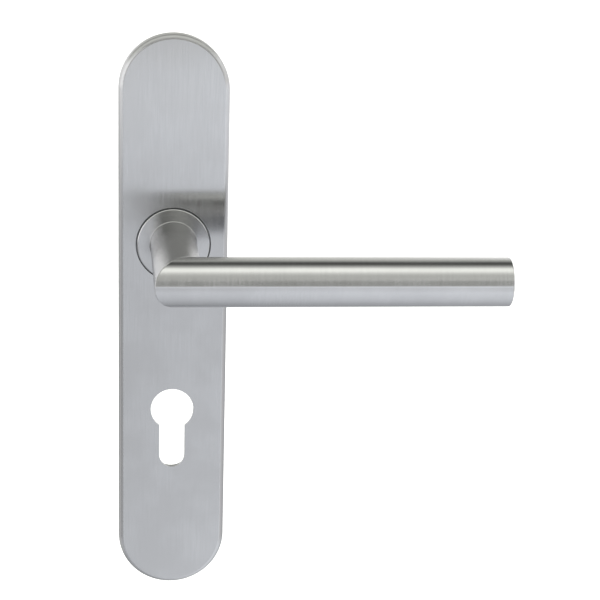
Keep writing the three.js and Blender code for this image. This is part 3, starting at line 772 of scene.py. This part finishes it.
# %% Softened copies of the small parts
def softened(node, name, body, edge_r):
    """A copy of a node of the model, with every sharp edge rounded."""
    piece = copy_of(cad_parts[node], name)
    piece.parent = None
    with editing(piece):
        bpy.ops.mesh.select_all(action="SELECT")
        bpy.ops.mesh.remove_doubles(threshold=TINY)
        bpy.ops.mesh.dissolve_limited(angle_limit=math.radians(0.5))
    use_modifier(
        piece, "BEVEL", width=edge_r, segments=2, limit_method="ANGLE",
        angle_limit=math.radians(35), use_clamp_overlap=True,
    )
    return finish(piece, body, [node], angle=35)


hub = softened("lever_hub", "hub", "lever", 0.15 * MM)
retaining_ring = softened("circlip", "retaining_ring", "lever", 0.06 * MM)
grub = softened("grub_screw", "grub", "lever", 0.12 * MM)
bush = softened("bearing_bush", "bush", "mounting", 0.12 * MM)
washer = softened("thrust_washer", "washer", "lever", 0.12 * MM)
driver = softened("spring_driver", "driver", "lever", 0.12 * MM)
clips = [
    softened(f"cover_clip_{level}_{side}", f"{level}_{side}_clip", "mounting", 0.04 * MM)
    for level in ("upper", "lower")
    for side in ("left", "right")
]

# %% [markdown]
# ## Effects shared by the finishes
#
# A brushed surface is a bundle of fine parallel scratches. Seen close they are lines of slightly
# different depth and tone; seen from afar they only smear the reflections across themselves. The
# lines come from noise stretched along the scratches, in a node group that every brushed or
# turned metal uses: straight for sheet, and round an axis for turned and round-brushed parts.
# Two more groups give what use and handling add: edges rubbed bright, and faint cloudy smudges.

# %% Helpers for nodes
def add(tree, kind, values=(), **settings):
    """Adds a node with these settings, and with these values on its first inputs."""
    node = tree.nodes.new(kind)
    for name, setting in settings.items():
        setattr(node, name, setting)
    for socket, value in zip(node.inputs, values):
        if value is not None:
            socket.default_value = value
    return node


def math_node(tree, operation, *inputs):
    """A Math node on sockets or numbers. Returns its output."""
    node = add(tree, "ShaderNodeMath", operation=operation)
    for socket, value in zip(node.inputs, inputs):
        if isinstance(value, (int, float)):
            socket.default_value = value
        else:
            tree.links.new(value, socket)
    return node.outputs[0]


def vector_node(tree, operation, first, second):
    """A Vector Math node on sockets or vectors. Returns its output."""
    node = add(tree, "ShaderNodeVectorMath", operation=operation)
    inputs = (node.inputs[0], node.inputs["Scale"] if operation == "SCALE" else node.inputs[1])
    for socket, value in zip(inputs, (first, second)):
        if isinstance(value, (tuple, Vector)):
            socket.default_value = value
        else:
            tree.links.new(value, socket)
    return node.outputs["Value" if operation in ("LENGTH", "DOT_PRODUCT") else "Vector"]


def spread(tree, value, low, high, to_low=0.0, to_high=1.0):
    """A smooth Map Range. Returns its output."""
    node = add(tree, "ShaderNodeMapRange", interpolation_type="SMOOTHSTEP")
    for name, number in (("From Min", low), ("From Max", high), ("To Min", to_low), ("To Max", to_high)):
        node.inputs[name].default_value = number
    tree.links.new(value, node.inputs["Value"])
    return node.outputs["Result"]


def new_group(name, inputs, outputs):
    """A shader node group with these (name, kind, default) inputs and (name, kind) outputs."""
    group = bpy.data.node_groups.new(name, "ShaderNodeTree")
    for socket, kind, default in inputs:
        made = group.interface.new_socket(socket, in_out="INPUT", socket_type=kind)
        if default is not None:
            made.default_value = default
    for socket, kind in outputs:
        group.interface.new_socket(socket, in_out="OUTPUT", socket_type=kind)
    return group, group.nodes.new("NodeGroupInput"), group.nodes.new("NodeGroupOutput")


# %% Group: scratches, straight along Z or round the Z axis
LONG_SCRATCHES = 90.0  # per metre, along the lay
SCRATCHES_PER_RADIAN = 1.5


def make_scratches(name, is_turned):
    """Tone is about 0.5 all over and varies from line to line. Depth is the scratches' height."""
    group, given, out = new_group(
        name,
        [("Position", "NodeSocketVector", None), ("Lines per metre", "NodeSocketFloat", 5000.0)],
        [("Tone", "NodeSocketFloat"), ("Depth", "NodeSocketFloat")],
    )
    split = add(group, "ShaderNodeSeparateXYZ")
    group.links.new(given.outputs["Position"], split.inputs[0])
    x, y, z = split.outputs
    fine = given.outputs["Lines per metre"]
    if is_turned:
        radius = math_node(group, "SQRT", math_node(
            group, "ADD", math_node(group, "MULTIPLY", x, x), math_node(group, "MULTIPLY", y, y)
        ))
        angle = math_node(group, "ARCTAN2", y, x)
        parts = (
            math_node(group, "MULTIPLY", radius, fine),
            math_node(group, "MULTIPLY", angle, SCRATCHES_PER_RADIAN),
            math_node(group, "MULTIPLY", z, fine),
        )
    else:
        parts = (
            math_node(group, "MULTIPLY", x, fine),
            math_node(group, "MULTIPLY", y, fine),
            math_node(group, "MULTIPLY", z, LONG_SCRATCHES),
        )
    joined = add(group, "ShaderNodeCombineXYZ")
    for part, socket in zip(parts, joined.inputs):
        group.links.new(part, socket)
    noise = add(group, "ShaderNodeTexNoise", noise_dimensions="3D")
    noise.inputs["Scale"].default_value = 1.0
    noise.inputs["Detail"].default_value = 3.0
    noise.inputs["Roughness"].default_value = 0.65
    group.links.new(joined.outputs[0], noise.inputs["Vector"])
    group.links.new(spread(group, noise.outputs["Fac"], 0.25, 0.75), out.inputs["Tone"])
    group.links.new(noise.outputs["Fac"], out.inputs["Depth"])
    return group


STRAIGHT_SCRATCHES = make_scratches("straight_scratches", is_turned=False)
TURNED_SCRATCHES = make_scratches("turned_scratches", is_turned=True)
print("scratch groups:", STRAIGHT_SCRATCHES.name, TURNED_SCRATCHES.name)


# %% Group: edges rubbed bright
RUB_R = 0.35 * MM  # how far from an edge it is rubbed


def make_rubbed_edges():
    """Mask is 0 on flat metal and rises to 1 along edges, in broken stretches."""
    group, given, out = new_group(
        "rubbed_edges", [("Position", "NodeSocketVector", None)], [("Mask", "NodeSocketFloat")]
    )
    shape = add(group, "ShaderNodeNewGeometry")
    rounded = add(group, "ShaderNodeBevel", samples=4)
    rounded.inputs["Radius"].default_value = RUB_R
    facing = vector_node(group, "DOT_PRODUCT", rounded.outputs["Normal"], shape.outputs["True Normal"])
    edge = spread(group, facing, 0.99, 0.85)
    noise = add(group, "ShaderNodeTexNoise")
    noise.inputs["Scale"].default_value = 400.0
    group.links.new(given.outputs["Position"], noise.inputs["Vector"])
    broken = spread(group, noise.outputs["Fac"], 0.35, 0.6, 0.4, 1.0)
    group.links.new(math_node(group, "MULTIPLY", edge, broken), out.inputs["Mask"])
    return group


# %% Group: faint smudges
def make_smudges():
    """Mask is a soft cloud between 0 and 1, a centimetre or two across."""
    group, given, out = new_group(
        "smudges",
        [("Position", "NodeSocketVector", None), ("Clouds per metre", "NodeSocketFloat", 60.0)],
        [("Mask", "NodeSocketFloat")],
    )
    noise = add(group, "ShaderNodeTexNoise")
    noise.inputs["Detail"].default_value = 5.0
    group.links.new(given.outputs["Position"], noise.inputs["Vector"])
    group.links.new(given.outputs["Clouds per metre"], noise.inputs["Scale"])
    group.links.new(spread(group, noise.outputs["Fac"], 0.3, 0.7), out.inputs["Mask"])
    return group


RUBBED_EDGES = make_rubbed_edges()
SMUDGES = make_smudges()
print("wear groups:", RUBBED_EDGES.name, SMUDGES.name)

# %% [markdown]
# ## The metals
#
# All the metals are built alike. The tone of the scratches, the smudges and the rubbed edges
# move the base colour and the roughness a little either way, and the scratches' depth feeds a
# Bump. What differs is the colour, how rough and how directional the metal is, and the lay of
# its scratches. The smear goes across the scratches, so the shader's tangent is worked out in the
# material: the scratches' direction crossed with the surface's own normal.

# %% Helpers for the materials
def start_material(name, colour, roughness, metallic, anisotropy=0.0):
    """A material with these constants. Returns it, its tree, its shader and its coordinates."""
    material = bpy.data.materials.new(name)
    material.use_nodes = True
    tree = material.node_tree
    shader = tree.nodes["Principled BSDF"]
    shader.inputs["Base Color"].default_value = (*colour, 1)
    shader.inputs["Roughness"].default_value = roughness
    shader.inputs["Metallic"].default_value = metallic
    shader.inputs["Anisotropic"].default_value = anisotropy
    place = add(tree, "ShaderNodeTexCoord")
    return material, tree, shader, place


def group_node(tree, group, **links_and_values):
    """Places a node group. Underscores in a name stand for spaces."""
    node = add(tree, "ShaderNodeGroup", node_tree=group)
    for name, value in links_and_values.items():
        socket = node.inputs[name.replace("_", " ")]
        if isinstance(value, bpy.types.NodeSocket):
            tree.links.new(value, socket)
        else:
            socket.default_value = value
    return node


def blend_colour(tree, factor, dark, light):
    """A colour between two, by a factor. Each is a colour or a socket."""
    node = add(tree, "ShaderNodeMix", data_type="RGBA")
    tree.links.new(factor, node.inputs["Factor"])
    for name, value in (("A", dark), ("B", light)):
        socket = [s for s in node.inputs if s.name == name and s.type == "RGBA"][0]
        if isinstance(value, bpy.types.NodeSocket):
            tree.links.new(value, socket)
        else:
            socket.default_value = (*value, 1)
    return [s for s in node.outputs if s.type == "RGBA"][0]


def shade(colour, share):
    """A colour made darker or lighter."""
    return tuple(channel * share for channel in colour)


SCRATCH_CONTRAST = 0.05
SCRATCH_DEPTH = 0.004 * MM


def weave_finish(tree, shader, place, scratches, colour, roughness):
    """Drives colour, roughness and bump from the scratches, the smudges and the rubbed edges."""
    smudges = group_node(tree, SMUDGES, Position=place).outputs["Mask"]
    rubbed = group_node(tree, RUBBED_EDGES, Position=place).outputs["Mask"]
    tone = scratches.outputs["Tone"]
    dark, light = shade(colour, 1 - SCRATCH_CONTRAST), shade(colour, 1 + SCRATCH_CONTRAST)
    metal = blend_colour(tree, tone, dark, light)
    clouded = blend_colour(tree, math_node(tree, "MULTIPLY", smudges, 0.5), metal, shade(colour, 0.95))
    bright = blend_colour(tree, math_node(tree, "MULTIPLY", rubbed, 0.5), clouded, shade(colour, 1.12))
    tree.links.new(bright, shader.inputs["Base Color"])
    lines = spread(tree, tone, 0.0, 1.0, roughness * 0.9, roughness * 1.1)
    cloud = spread(tree, smudges, 0.0, 1.0, -0.02, 0.03)
    tree.links.new(math_node(tree, "ADD", lines, cloud), shader.inputs["Roughness"])
    bump = add(tree, "ShaderNodeBump")
    bump.inputs["Strength"].default_value = 1.0
    bump.inputs["Distance"].default_value = SCRATCH_DEPTH
    tree.links.new(scratches.outputs["Depth"], bump.inputs["Height"])
    tree.links.new(bump.outputs["Normal"], shader.inputs["Normal"])


def set_tangent(tree, shader, across):
    """Turns a direction on the piece into the world's, because pieces move, and feeds it."""
    turn = add(
        tree, "ShaderNodeVectorTransform", vector_type="VECTOR",
        convert_from="OBJECT", convert_to="WORLD",
    )
    tree.links.new(across, turn.inputs[0])
    tree.links.new(turn.outputs[0], shader.inputs["Tangent"])


# %% Metal brushed or turned round an axis
TURNED_LINES = 5000.0  # scratches per metre
TURN_TO_Z = {"X": (0, -math.pi / 2, 0), "Y": (math.pi / 2, 0, 0), "Z": (0, 0, 0)}
AXES = {"X": (1, 0, 0), "Y": (0, 1, 0), "Z": (0, 0, 1)}


def round_brushed(name, axis, centre, colour, roughness, anisotropy):
    """Metal whose scratches run round an axis of the piece, through a point."""
    material, tree, shader, place = start_material(name, colour, roughness, 1.0, anisotropy)
    centred = vector_node(tree, "SUBTRACT", place.outputs["Object"], tuple(centre))
    turn = add(tree, "ShaderNodeMapping", vector_type="POINT")
    turn.inputs["Rotation"].default_value = TURN_TO_Z[axis]
    tree.links.new(centred, turn.inputs["Vector"])
    scratches = group_node(
        tree, TURNED_SCRATCHES, Position=turn.outputs[0], Lines_per_metre=TURNED_LINES
    )
    weave_finish(tree, shader, place.outputs["Object"], scratches, colour, roughness)
    around = vector_node(tree, "CROSS_PRODUCT", AXES[axis], centred)
    set_tangent(tree, shader, vector_node(tree, "CROSS_PRODUCT", around, place.outputs["Normal"]))
    return material


# %% [markdown]
# The cover's face is brushed up and down. Its rounded rim is finished on a belt that follows the
# edge, so there the scratches run along the rim and the reflections smear over it. The direction
# of the scratches therefore changes with the normal: straight up where the normal looks
# forwards, and along the rim where it leans outwards.

# %% The cover's brushed steel
STRAIGHT_LINES = 4200.0  # scratches per metre
RIM_ROUGHNESS = 0.29
FACE_LEAN, RIM_LEAN = 0.05, 0.3  # how far the normal leans out where the face ends and the rim begins


def cover_steel(colour, roughness, anisotropy):
    """Brushed upwards on the face and along the edge on the rim."""
    material, tree, shader, place = start_material("brushed_cover", colour, roughness, 1.0, anisotropy)
    scratches = group_node(
        tree, STRAIGHT_SCRATCHES, Position=place.outputs["Object"], Lines_per_metre=STRAIGHT_LINES
    )
    weave_finish(tree, shader, place.outputs["Object"], scratches, colour, roughness)
    split = add(tree, "ShaderNodeSeparateXYZ")
    tree.links.new(place.outputs["Normal"], split.inputs[0])
    x, _, z = split.outputs
    side = math_node(tree, "SIGN", math_node(tree, "ADD", x, 1e-5))
    along_rim = add(tree, "ShaderNodeCombineXYZ")
    sideways = math_node(tree, "MULTIPLY", math_node(tree, "MULTIPLY", z, -1.0), side)
    tree.links.new(sideways, along_rim.inputs[0])
    tree.links.new(math_node(tree, "ABSOLUTE", x), along_rim.inputs[2])
    lean = math_node(tree, "SQRT", math_node(
        tree, "ADD", math_node(tree, "MULTIPLY", x, x), math_node(tree, "MULTIPLY", z, z)
    ))
    on_rim = spread(tree, lean, FACE_LEAN, RIM_LEAN)
    rougher = add(tree, "ShaderNodeMix", data_type="FLOAT")
    scalars = [s for s in rougher.inputs if s.type == "VALUE"]
    tree.links.new(on_rim, rougher.inputs["Factor"])
    tree.links.new(shader.inputs["Roughness"].links[0].from_socket, scalars[-2])
    scalars[-1].default_value = RIM_ROUGHNESS
    tree.links.new(rougher.outputs[0], shader.inputs["Roughness"])
    lay = add(tree, "ShaderNodeMix", data_type="VECTOR")
    vectors = [s for s in lay.inputs if s.type == "VECTOR"]
    tree.links.new(on_rim, lay.inputs["Factor"])
    vectors[-2].default_value = (0, 0, 0.3)
    tree.links.new(along_rim.outputs[0], vectors[-1])
    direction = [s for s in lay.outputs if s.type == "VECTOR"][0]
    set_tangent(tree, shader, vector_node(tree, "CROSS_PRODUCT", direction, place.outputs["Normal"]))
    return material


# %% Cast zinc and moulded nylon
def cast_zinc():
    """Grey and matte, with the fine pebble of a die and darker flow marks."""
    colour = (0.33, 0.34, 0.35)
    material, tree, shader, place = start_material("cast_zinc", colour, 0.5, 1.0)
    pebble = add(tree, "ShaderNodeTexNoise")
    pebble.inputs["Scale"].default_value = 2500.0
    pebble.inputs["Detail"].default_value = 4.0
    tree.links.new(place.outputs["Object"], pebble.inputs["Vector"])
    smudges = group_node(
        tree, SMUDGES, Position=place.outputs["Object"], Clouds_per_metre=110.0
    ).outputs["Mask"]
    rubbed = group_node(tree, RUBBED_EDGES, Position=place.outputs["Object"]).outputs["Mask"]
    flow = blend_colour(tree, smudges, shade(colour, 0.82), shade(colour, 1.08))
    bright = blend_colour(tree, math_node(tree, "MULTIPLY", rubbed, 0.6), flow, shade(colour, 1.4))
    tree.links.new(bright, shader.inputs["Base Color"])
    tree.links.new(spread(tree, pebble.outputs["Fac"], 0.2, 0.8, 0.42, 0.62), shader.inputs["Roughness"])
    bump = add(tree, "ShaderNodeBump")
    bump.inputs["Strength"].default_value = 0.7
    bump.inputs["Distance"].default_value = 3e-5
    tree.links.new(pebble.outputs["Fac"], bump.inputs["Height"])
    tree.links.new(bump.outputs["Normal"], shader.inputs["Normal"])
    return material


def black_nylon():
    """Dark plastic with a spark-eroded grain and a little dust in it."""
    colour = (0.022, 0.022, 0.024)
    material, tree, shader, place = start_material("black_nylon", colour, 0.45, 0.0)
    grain = add(tree, "ShaderNodeTexNoise")
    grain.inputs["Scale"].default_value = 4000.0
    tree.links.new(place.outputs["Object"], grain.inputs["Vector"])
    smudges = group_node(tree, SMUDGES, Position=place.outputs["Object"]).outputs["Mask"]
    tree.links.new(blend_colour(tree, smudges, colour, (0.04, 0.04, 0.042)), shader.inputs["Base Color"])
    tree.links.new(spread(tree, grain.outputs["Fac"], 0.2, 0.8, 0.38, 0.58), shader.inputs["Roughness"])
    bump = add(tree, "ShaderNodeBump")
    bump.inputs["Strength"].default_value = 0.5
    bump.inputs["Distance"].default_value = 2e-5
    tree.links.new(grain.outputs["Fac"], bump.inputs["Height"])
    tree.links.new(bump.outputs["Normal"], shader.inputs["Normal"])
    return material


# %% Steel parts that aren't brushed
def plated_steel(name, colour, roughness):
    """Zinc-plated or bare rolled steel: smooth, with cloudy plating and rubbed edges."""
    material, tree, shader, place = start_material(name, colour, roughness, 1.0)
    cloud = group_node(
        tree, SMUDGES, Position=place.outputs["Object"], Clouds_per_metre=300.0
    ).outputs["Mask"]
    rubbed = group_node(tree, RUBBED_EDGES, Position=place.outputs["Object"]).outputs["Mask"]
    tint = (colour[0] * 0.93, colour[1] * 0.95, colour[2] * 1.0)
    clouded = blend_colour(tree, cloud, tint, shade(colour, 1.04))
    tree.links.new(
        blend_colour(tree, math_node(tree, "MULTIPLY", rubbed, 0.5), clouded, shade(colour, 1.2)),
        shader.inputs["Base Color"],
    )
    uneven = spread(tree, cloud, 0.0, 1.0, roughness * 0.8, roughness * 1.25)
    tree.links.new(uneven, shader.inputs["Roughness"])
    grain = add(tree, "ShaderNodeTexNoise")
    grain.inputs["Scale"].default_value = 3000.0
    tree.links.new(place.outputs["Object"], grain.inputs["Vector"])
    bump = add(tree, "ShaderNodeBump")
    bump.inputs["Strength"].default_value = 0.3
    bump.inputs["Distance"].default_value = 1e-5
    tree.links.new(grain.outputs["Fac"], bump.inputs["Height"])
    tree.links.new(bump.outputs["Normal"], shader.inputs["Normal"])
    return material


# %% Put the finishes on the pieces
def wear(material, *pieces):
    """Gives pieces a material in place of the one they came with."""
    for piece in pieces:
        piece.data.materials.clear()
        piece.data.materials.append(material)
    print(material.name, "on", len(pieces), "pieces")


STAINLESS = (0.48, 0.48, 0.484)
GRIP_AXIS_POINT = (0, GRIP_Y, 0)
wear(cover_steel(STAINLESS, 0.20, 0.98), cover)
grip_steel = round_brushed("brushed_grip", "X", GRIP_AXIS_POINT, STAINLESS, 0.22, 0.95)
wear(grip_steel, grip, end_cap)
wear(round_brushed("brushed_neck", "Y", (0, 0, 0), STAINLESS, 0.19, 0.9), neck)
wear(round_brushed("turned_collar", "Y", (0, 0, 0), STAINLESS, 0.20, 0.9), collar)
wear(cast_zinc(), mounting_plate)
wear(black_nylon(), bush, washer)
plating = plated_steel("zinc_plating", (0.52, 0.53, 0.505), 0.28)
wear(plating, *fixing_screws, *cassette_screws, cassette_plate, spindle, driver)
wear(round_brushed("turned_hub", "Y", (0, 0, 0), (0.50, 0.51, 0.50), 0.25, 0.6), hub)
dark_steel = plated_steel("spring_steel", (0.25, 0.26, 0.275), 0.3)
wear(dark_steel, retaining_ring, grub, *clips)


def refinish(material, *nodes):
    """Gives nodes that stay from the model a better material, slot by slot."""
    for node in nodes:
        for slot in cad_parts[node].material_slots:
            slot.material = material
    print(material.name, "on the model's", ", ".join(nodes))


refinish(plating, *STOP_PINS)
refinish(dark_steel, "return_spring")

# %% [markdown]
# ## Studio
#
# Satin steel shows its surroundings as soft bands, so the studio is what gives the lever its
# stripes: a long light box high in front, a dark gap above it, a pale backdrop, and a bright
# table that ends at a sharp horizon. Area lights could stand for the light boxes, but every band
# would need one. The bands depend on height alone, so they are painted in the world by one colour
# ramp over the angle in the plane across the grip. The lamps, walls and table ends at the left
# and the right are patches over it. What the lens sees directly is plain white.

# %% The studio's light by height
# Degrees: 0 is level in front, 90 overhead, 180 level behind, -90 straight down. Then the level.
STUDIO = [
    (-180, 0.42), (-150, 0.36), (-130, 0.37), (-110, 0.48), (-90, 0.63), (-75, 0.73),
    (-60, 0.80), (-40, 0.87), (-25, 0.86), (-18, 0.80), (-13, 0.80), (-10, 0.90), (-6.8, 0.93),
    (-5.4, 0.40), (0, 0.31), (15, 0.32), (28, 0.55), (46, 0.67), (56, 0.90), (64, 1.25),
    (72, 1.42), (80, 1.25), (88, 0.70), (97, 0.33), (103, 0.14), (110, 0.09),
    (117, 0.13), (125, 0.34), (136, 0.60), (150, 0.72), (180, 0.72),
]
PEAK = max(level for _, level in STUDIO)
LAMP_POWER = 1.29
LOW_LIGHT_ENDS = (20, 50)  # the height over which the light's growth to the right dies out
HORIZON = -6
ABOVE_TINT = (1.005, 1.015, 0.95)
BELOW_TINT = (0.96, 0.99, 1.035)
# The low light grows from left to right: degrees to the side, and the light lost or gained there
SIDE_LIGHT = ((-16, -0.33), (20, 0.33))
# Patches: name, azimuth from and to (right is positive), height from and to, level, softness
PATCHES = [
    ("left table", -116, -70, -45, -9, 0.82, 8),
    ("left wall", -165, -70, -9, 25, 1.05, 8),
    ("dark floor at the left", -72, -12, -26, -12, 0.38, 5),
    ("left lamp", -76, -18, -9, 22, 1.55, 2.5),
    ("right table", 30, 95, -30, -12, 0.72, 4),
    ("right wall", 98, 165, -14, 30, 1.15, 8),
    ("right lamp", 34, 70, -6, 26, 1.3, 2.5),
]
TOP_EDGE = 2.5  # softness of every patch upwards and downwards


def band(tree, value, low, high, edge):
    """1 between two angles, falling smoothly to 0 over the edge's width at each."""
    return math_node(
        tree, "MULTIPLY",
        spread(tree, value, math.radians(low - edge), math.radians(low + edge)),
        spread(tree, value, math.radians(high - edge), math.radians(high + edge), 1.0, 0.0),
    )


def make_studio():
    world = bpy.data.worlds.new("studio")
    scene.world = world
    world.use_nodes = True
    tree = world.node_tree
    tree.nodes.clear()
    link = tree.links.new
    direction = add(tree, "ShaderNodeTexCoord").outputs["Generated"]
    split = add(tree, "ShaderNodeSeparateXYZ")
    link(direction, split.inputs[0])
    x, y, z = split.outputs
    forward = math_node(tree, "MULTIPLY", y, -1.0)
    height = math_node(tree, "ARCTAN2", z, forward)
    turn = add(tree, "ShaderNodeMapRange")
    turn.inputs["From Min"].default_value = -math.pi
    turn.inputs["From Max"].default_value = math.pi
    link(height, turn.inputs["Value"])
    ramp = add(tree, "ShaderNodeValToRGB")
    link(turn.outputs["Result"], ramp.inputs["Fac"])
    stops = ramp.color_ramp.elements
    for i, (degrees, level) in enumerate(STUDIO):
        place = (degrees + 180) / 360
        stop = stops[i] if i < 2 else stops.new(place)
        stop.position = place
        tint = ABOVE_TINT if degrees > HORIZON else BELOW_TINT
        stop.color = (*shade(tint, level / PEAK), 1)
    (left_end, lost), (right_end, gained) = SIDE_LIGHT
    sideways = math_node(tree, "ARCSINE", x)
    gain = spread(tree, sideways, math.radians(left_end), math.radians(right_end), lost, gained)
    low_only = spread(tree, height, *(math.radians(end) for end in LOW_LIGHT_ENDS), 1.0, 0.0)
    share = math_node(tree, "ADD", math_node(tree, "MULTIPLY", gain, low_only), 1.0)
    light = vector_node(tree, "SCALE", ramp.outputs["Color"], share)
    azimuth = math_node(tree, "ARCTAN2", x, forward)
    rise = math_node(tree, "ARCSINE", z)
    for _, left, right, low, high, level, edge in PATCHES:
        mask = math_node(
            tree, "MULTIPLY", band(tree, azimuth, left, right, edge), band(tree, rise, low, high, TOP_EDGE)
        )
        light = blend_colour(tree, mask, light, shade((1, 1, 1), level / PEAK))
    lit = add(tree, "ShaderNodeBackground")
    lit.inputs["Strength"].default_value = PEAK * LAMP_POWER
    link(light, lit.inputs["Color"])
    seen = add(tree, "ShaderNodeBackground")
    seen.inputs["Color"].default_value = (1, 1, 1, 1)
    path = add(tree, "ShaderNodeLightPath")
    mix = add(tree, "ShaderNodeMixShader")
    link(path.outputs["Is Camera Ray"], mix.inputs["Fac"])
    link(lit.outputs[0], mix.inputs[1])
    link(seen.outputs[0], mix.inputs[2])
    output = add(tree, "ShaderNodeOutputWorld")
    link(mix.outputs[0], output.inputs["Surface"])


make_studio()
print(f"studio: {len(STUDIO)} levels by height, {len(PATCHES)} patches")
scene.view_settings.view_transform = "Standard"
scene.view_settings.look = "None"

# %% [markdown]
# The floor is a plain white sheet far below the handle. It glows a little, so that it comes out
# as pale as the backdrop. The steel already reflects the table that the world's ramp paints, so
# the floor itself is kept out of reflections. From below it is clear, so the handle's underside
# can be seen too.

# %% The floor
FLOOR_BELOW = 300 * MM
FLOOR_SIZE = 16.0
FLOOR_MIDDLE = 4.0  # behind the door's face
FLOOR_GLOW = 0.6


def make_floor():
    bpy.ops.object.select_all(action="DESELECT")
    bpy.ops.mesh.primitive_plane_add(size=FLOOR_SIZE, location=(0, FLOOR_MIDDLE, PLATE_LOW.z - FLOOR_BELOW))
    floor = bpy.context.active_object
    floor.name = "floor"
    material, tree, shader, place = start_material("white_table", (0.9, 0.9, 0.9), 0.8, 0.0)
    noise = add(tree, "ShaderNodeTexNoise")
    noise.inputs["Scale"].default_value = 3.0
    tree.links.new(place.outputs["Object"], noise.inputs["Vector"])
    tree.links.new(
        blend_colour(tree, noise.outputs["Fac"], (0.88, 0.88, 0.88), (0.92, 0.92, 0.92)),
        shader.inputs["Base Color"],
    )
    shader.inputs["Emission Color"].default_value = (1, 1, 1, 1)
    shader.inputs["Emission Strength"].default_value = FLOOR_GLOW
    under_side = add(tree, "ShaderNodeNewGeometry").outputs["Backfacing"]
    clear = add(tree, "ShaderNodeBsdfTransparent")
    mix = add(tree, "ShaderNodeMixShader")
    tree.links.new(under_side, mix.inputs["Fac"])
    tree.links.new(shader.outputs[0], mix.inputs[1])
    tree.links.new(clear.outputs[0], mix.inputs[2])
    tree.links.new(mix.outputs[0], tree.nodes["Material Output"].inputs["Surface"])
    floor.data.materials.append(material)
    floor.visible_glossy = False
    return floor


floor = make_floor()
print(f"floor: {FLOOR_SIZE} m, {1000 * FLOOR_BELOW:.0f} mm below the plate")
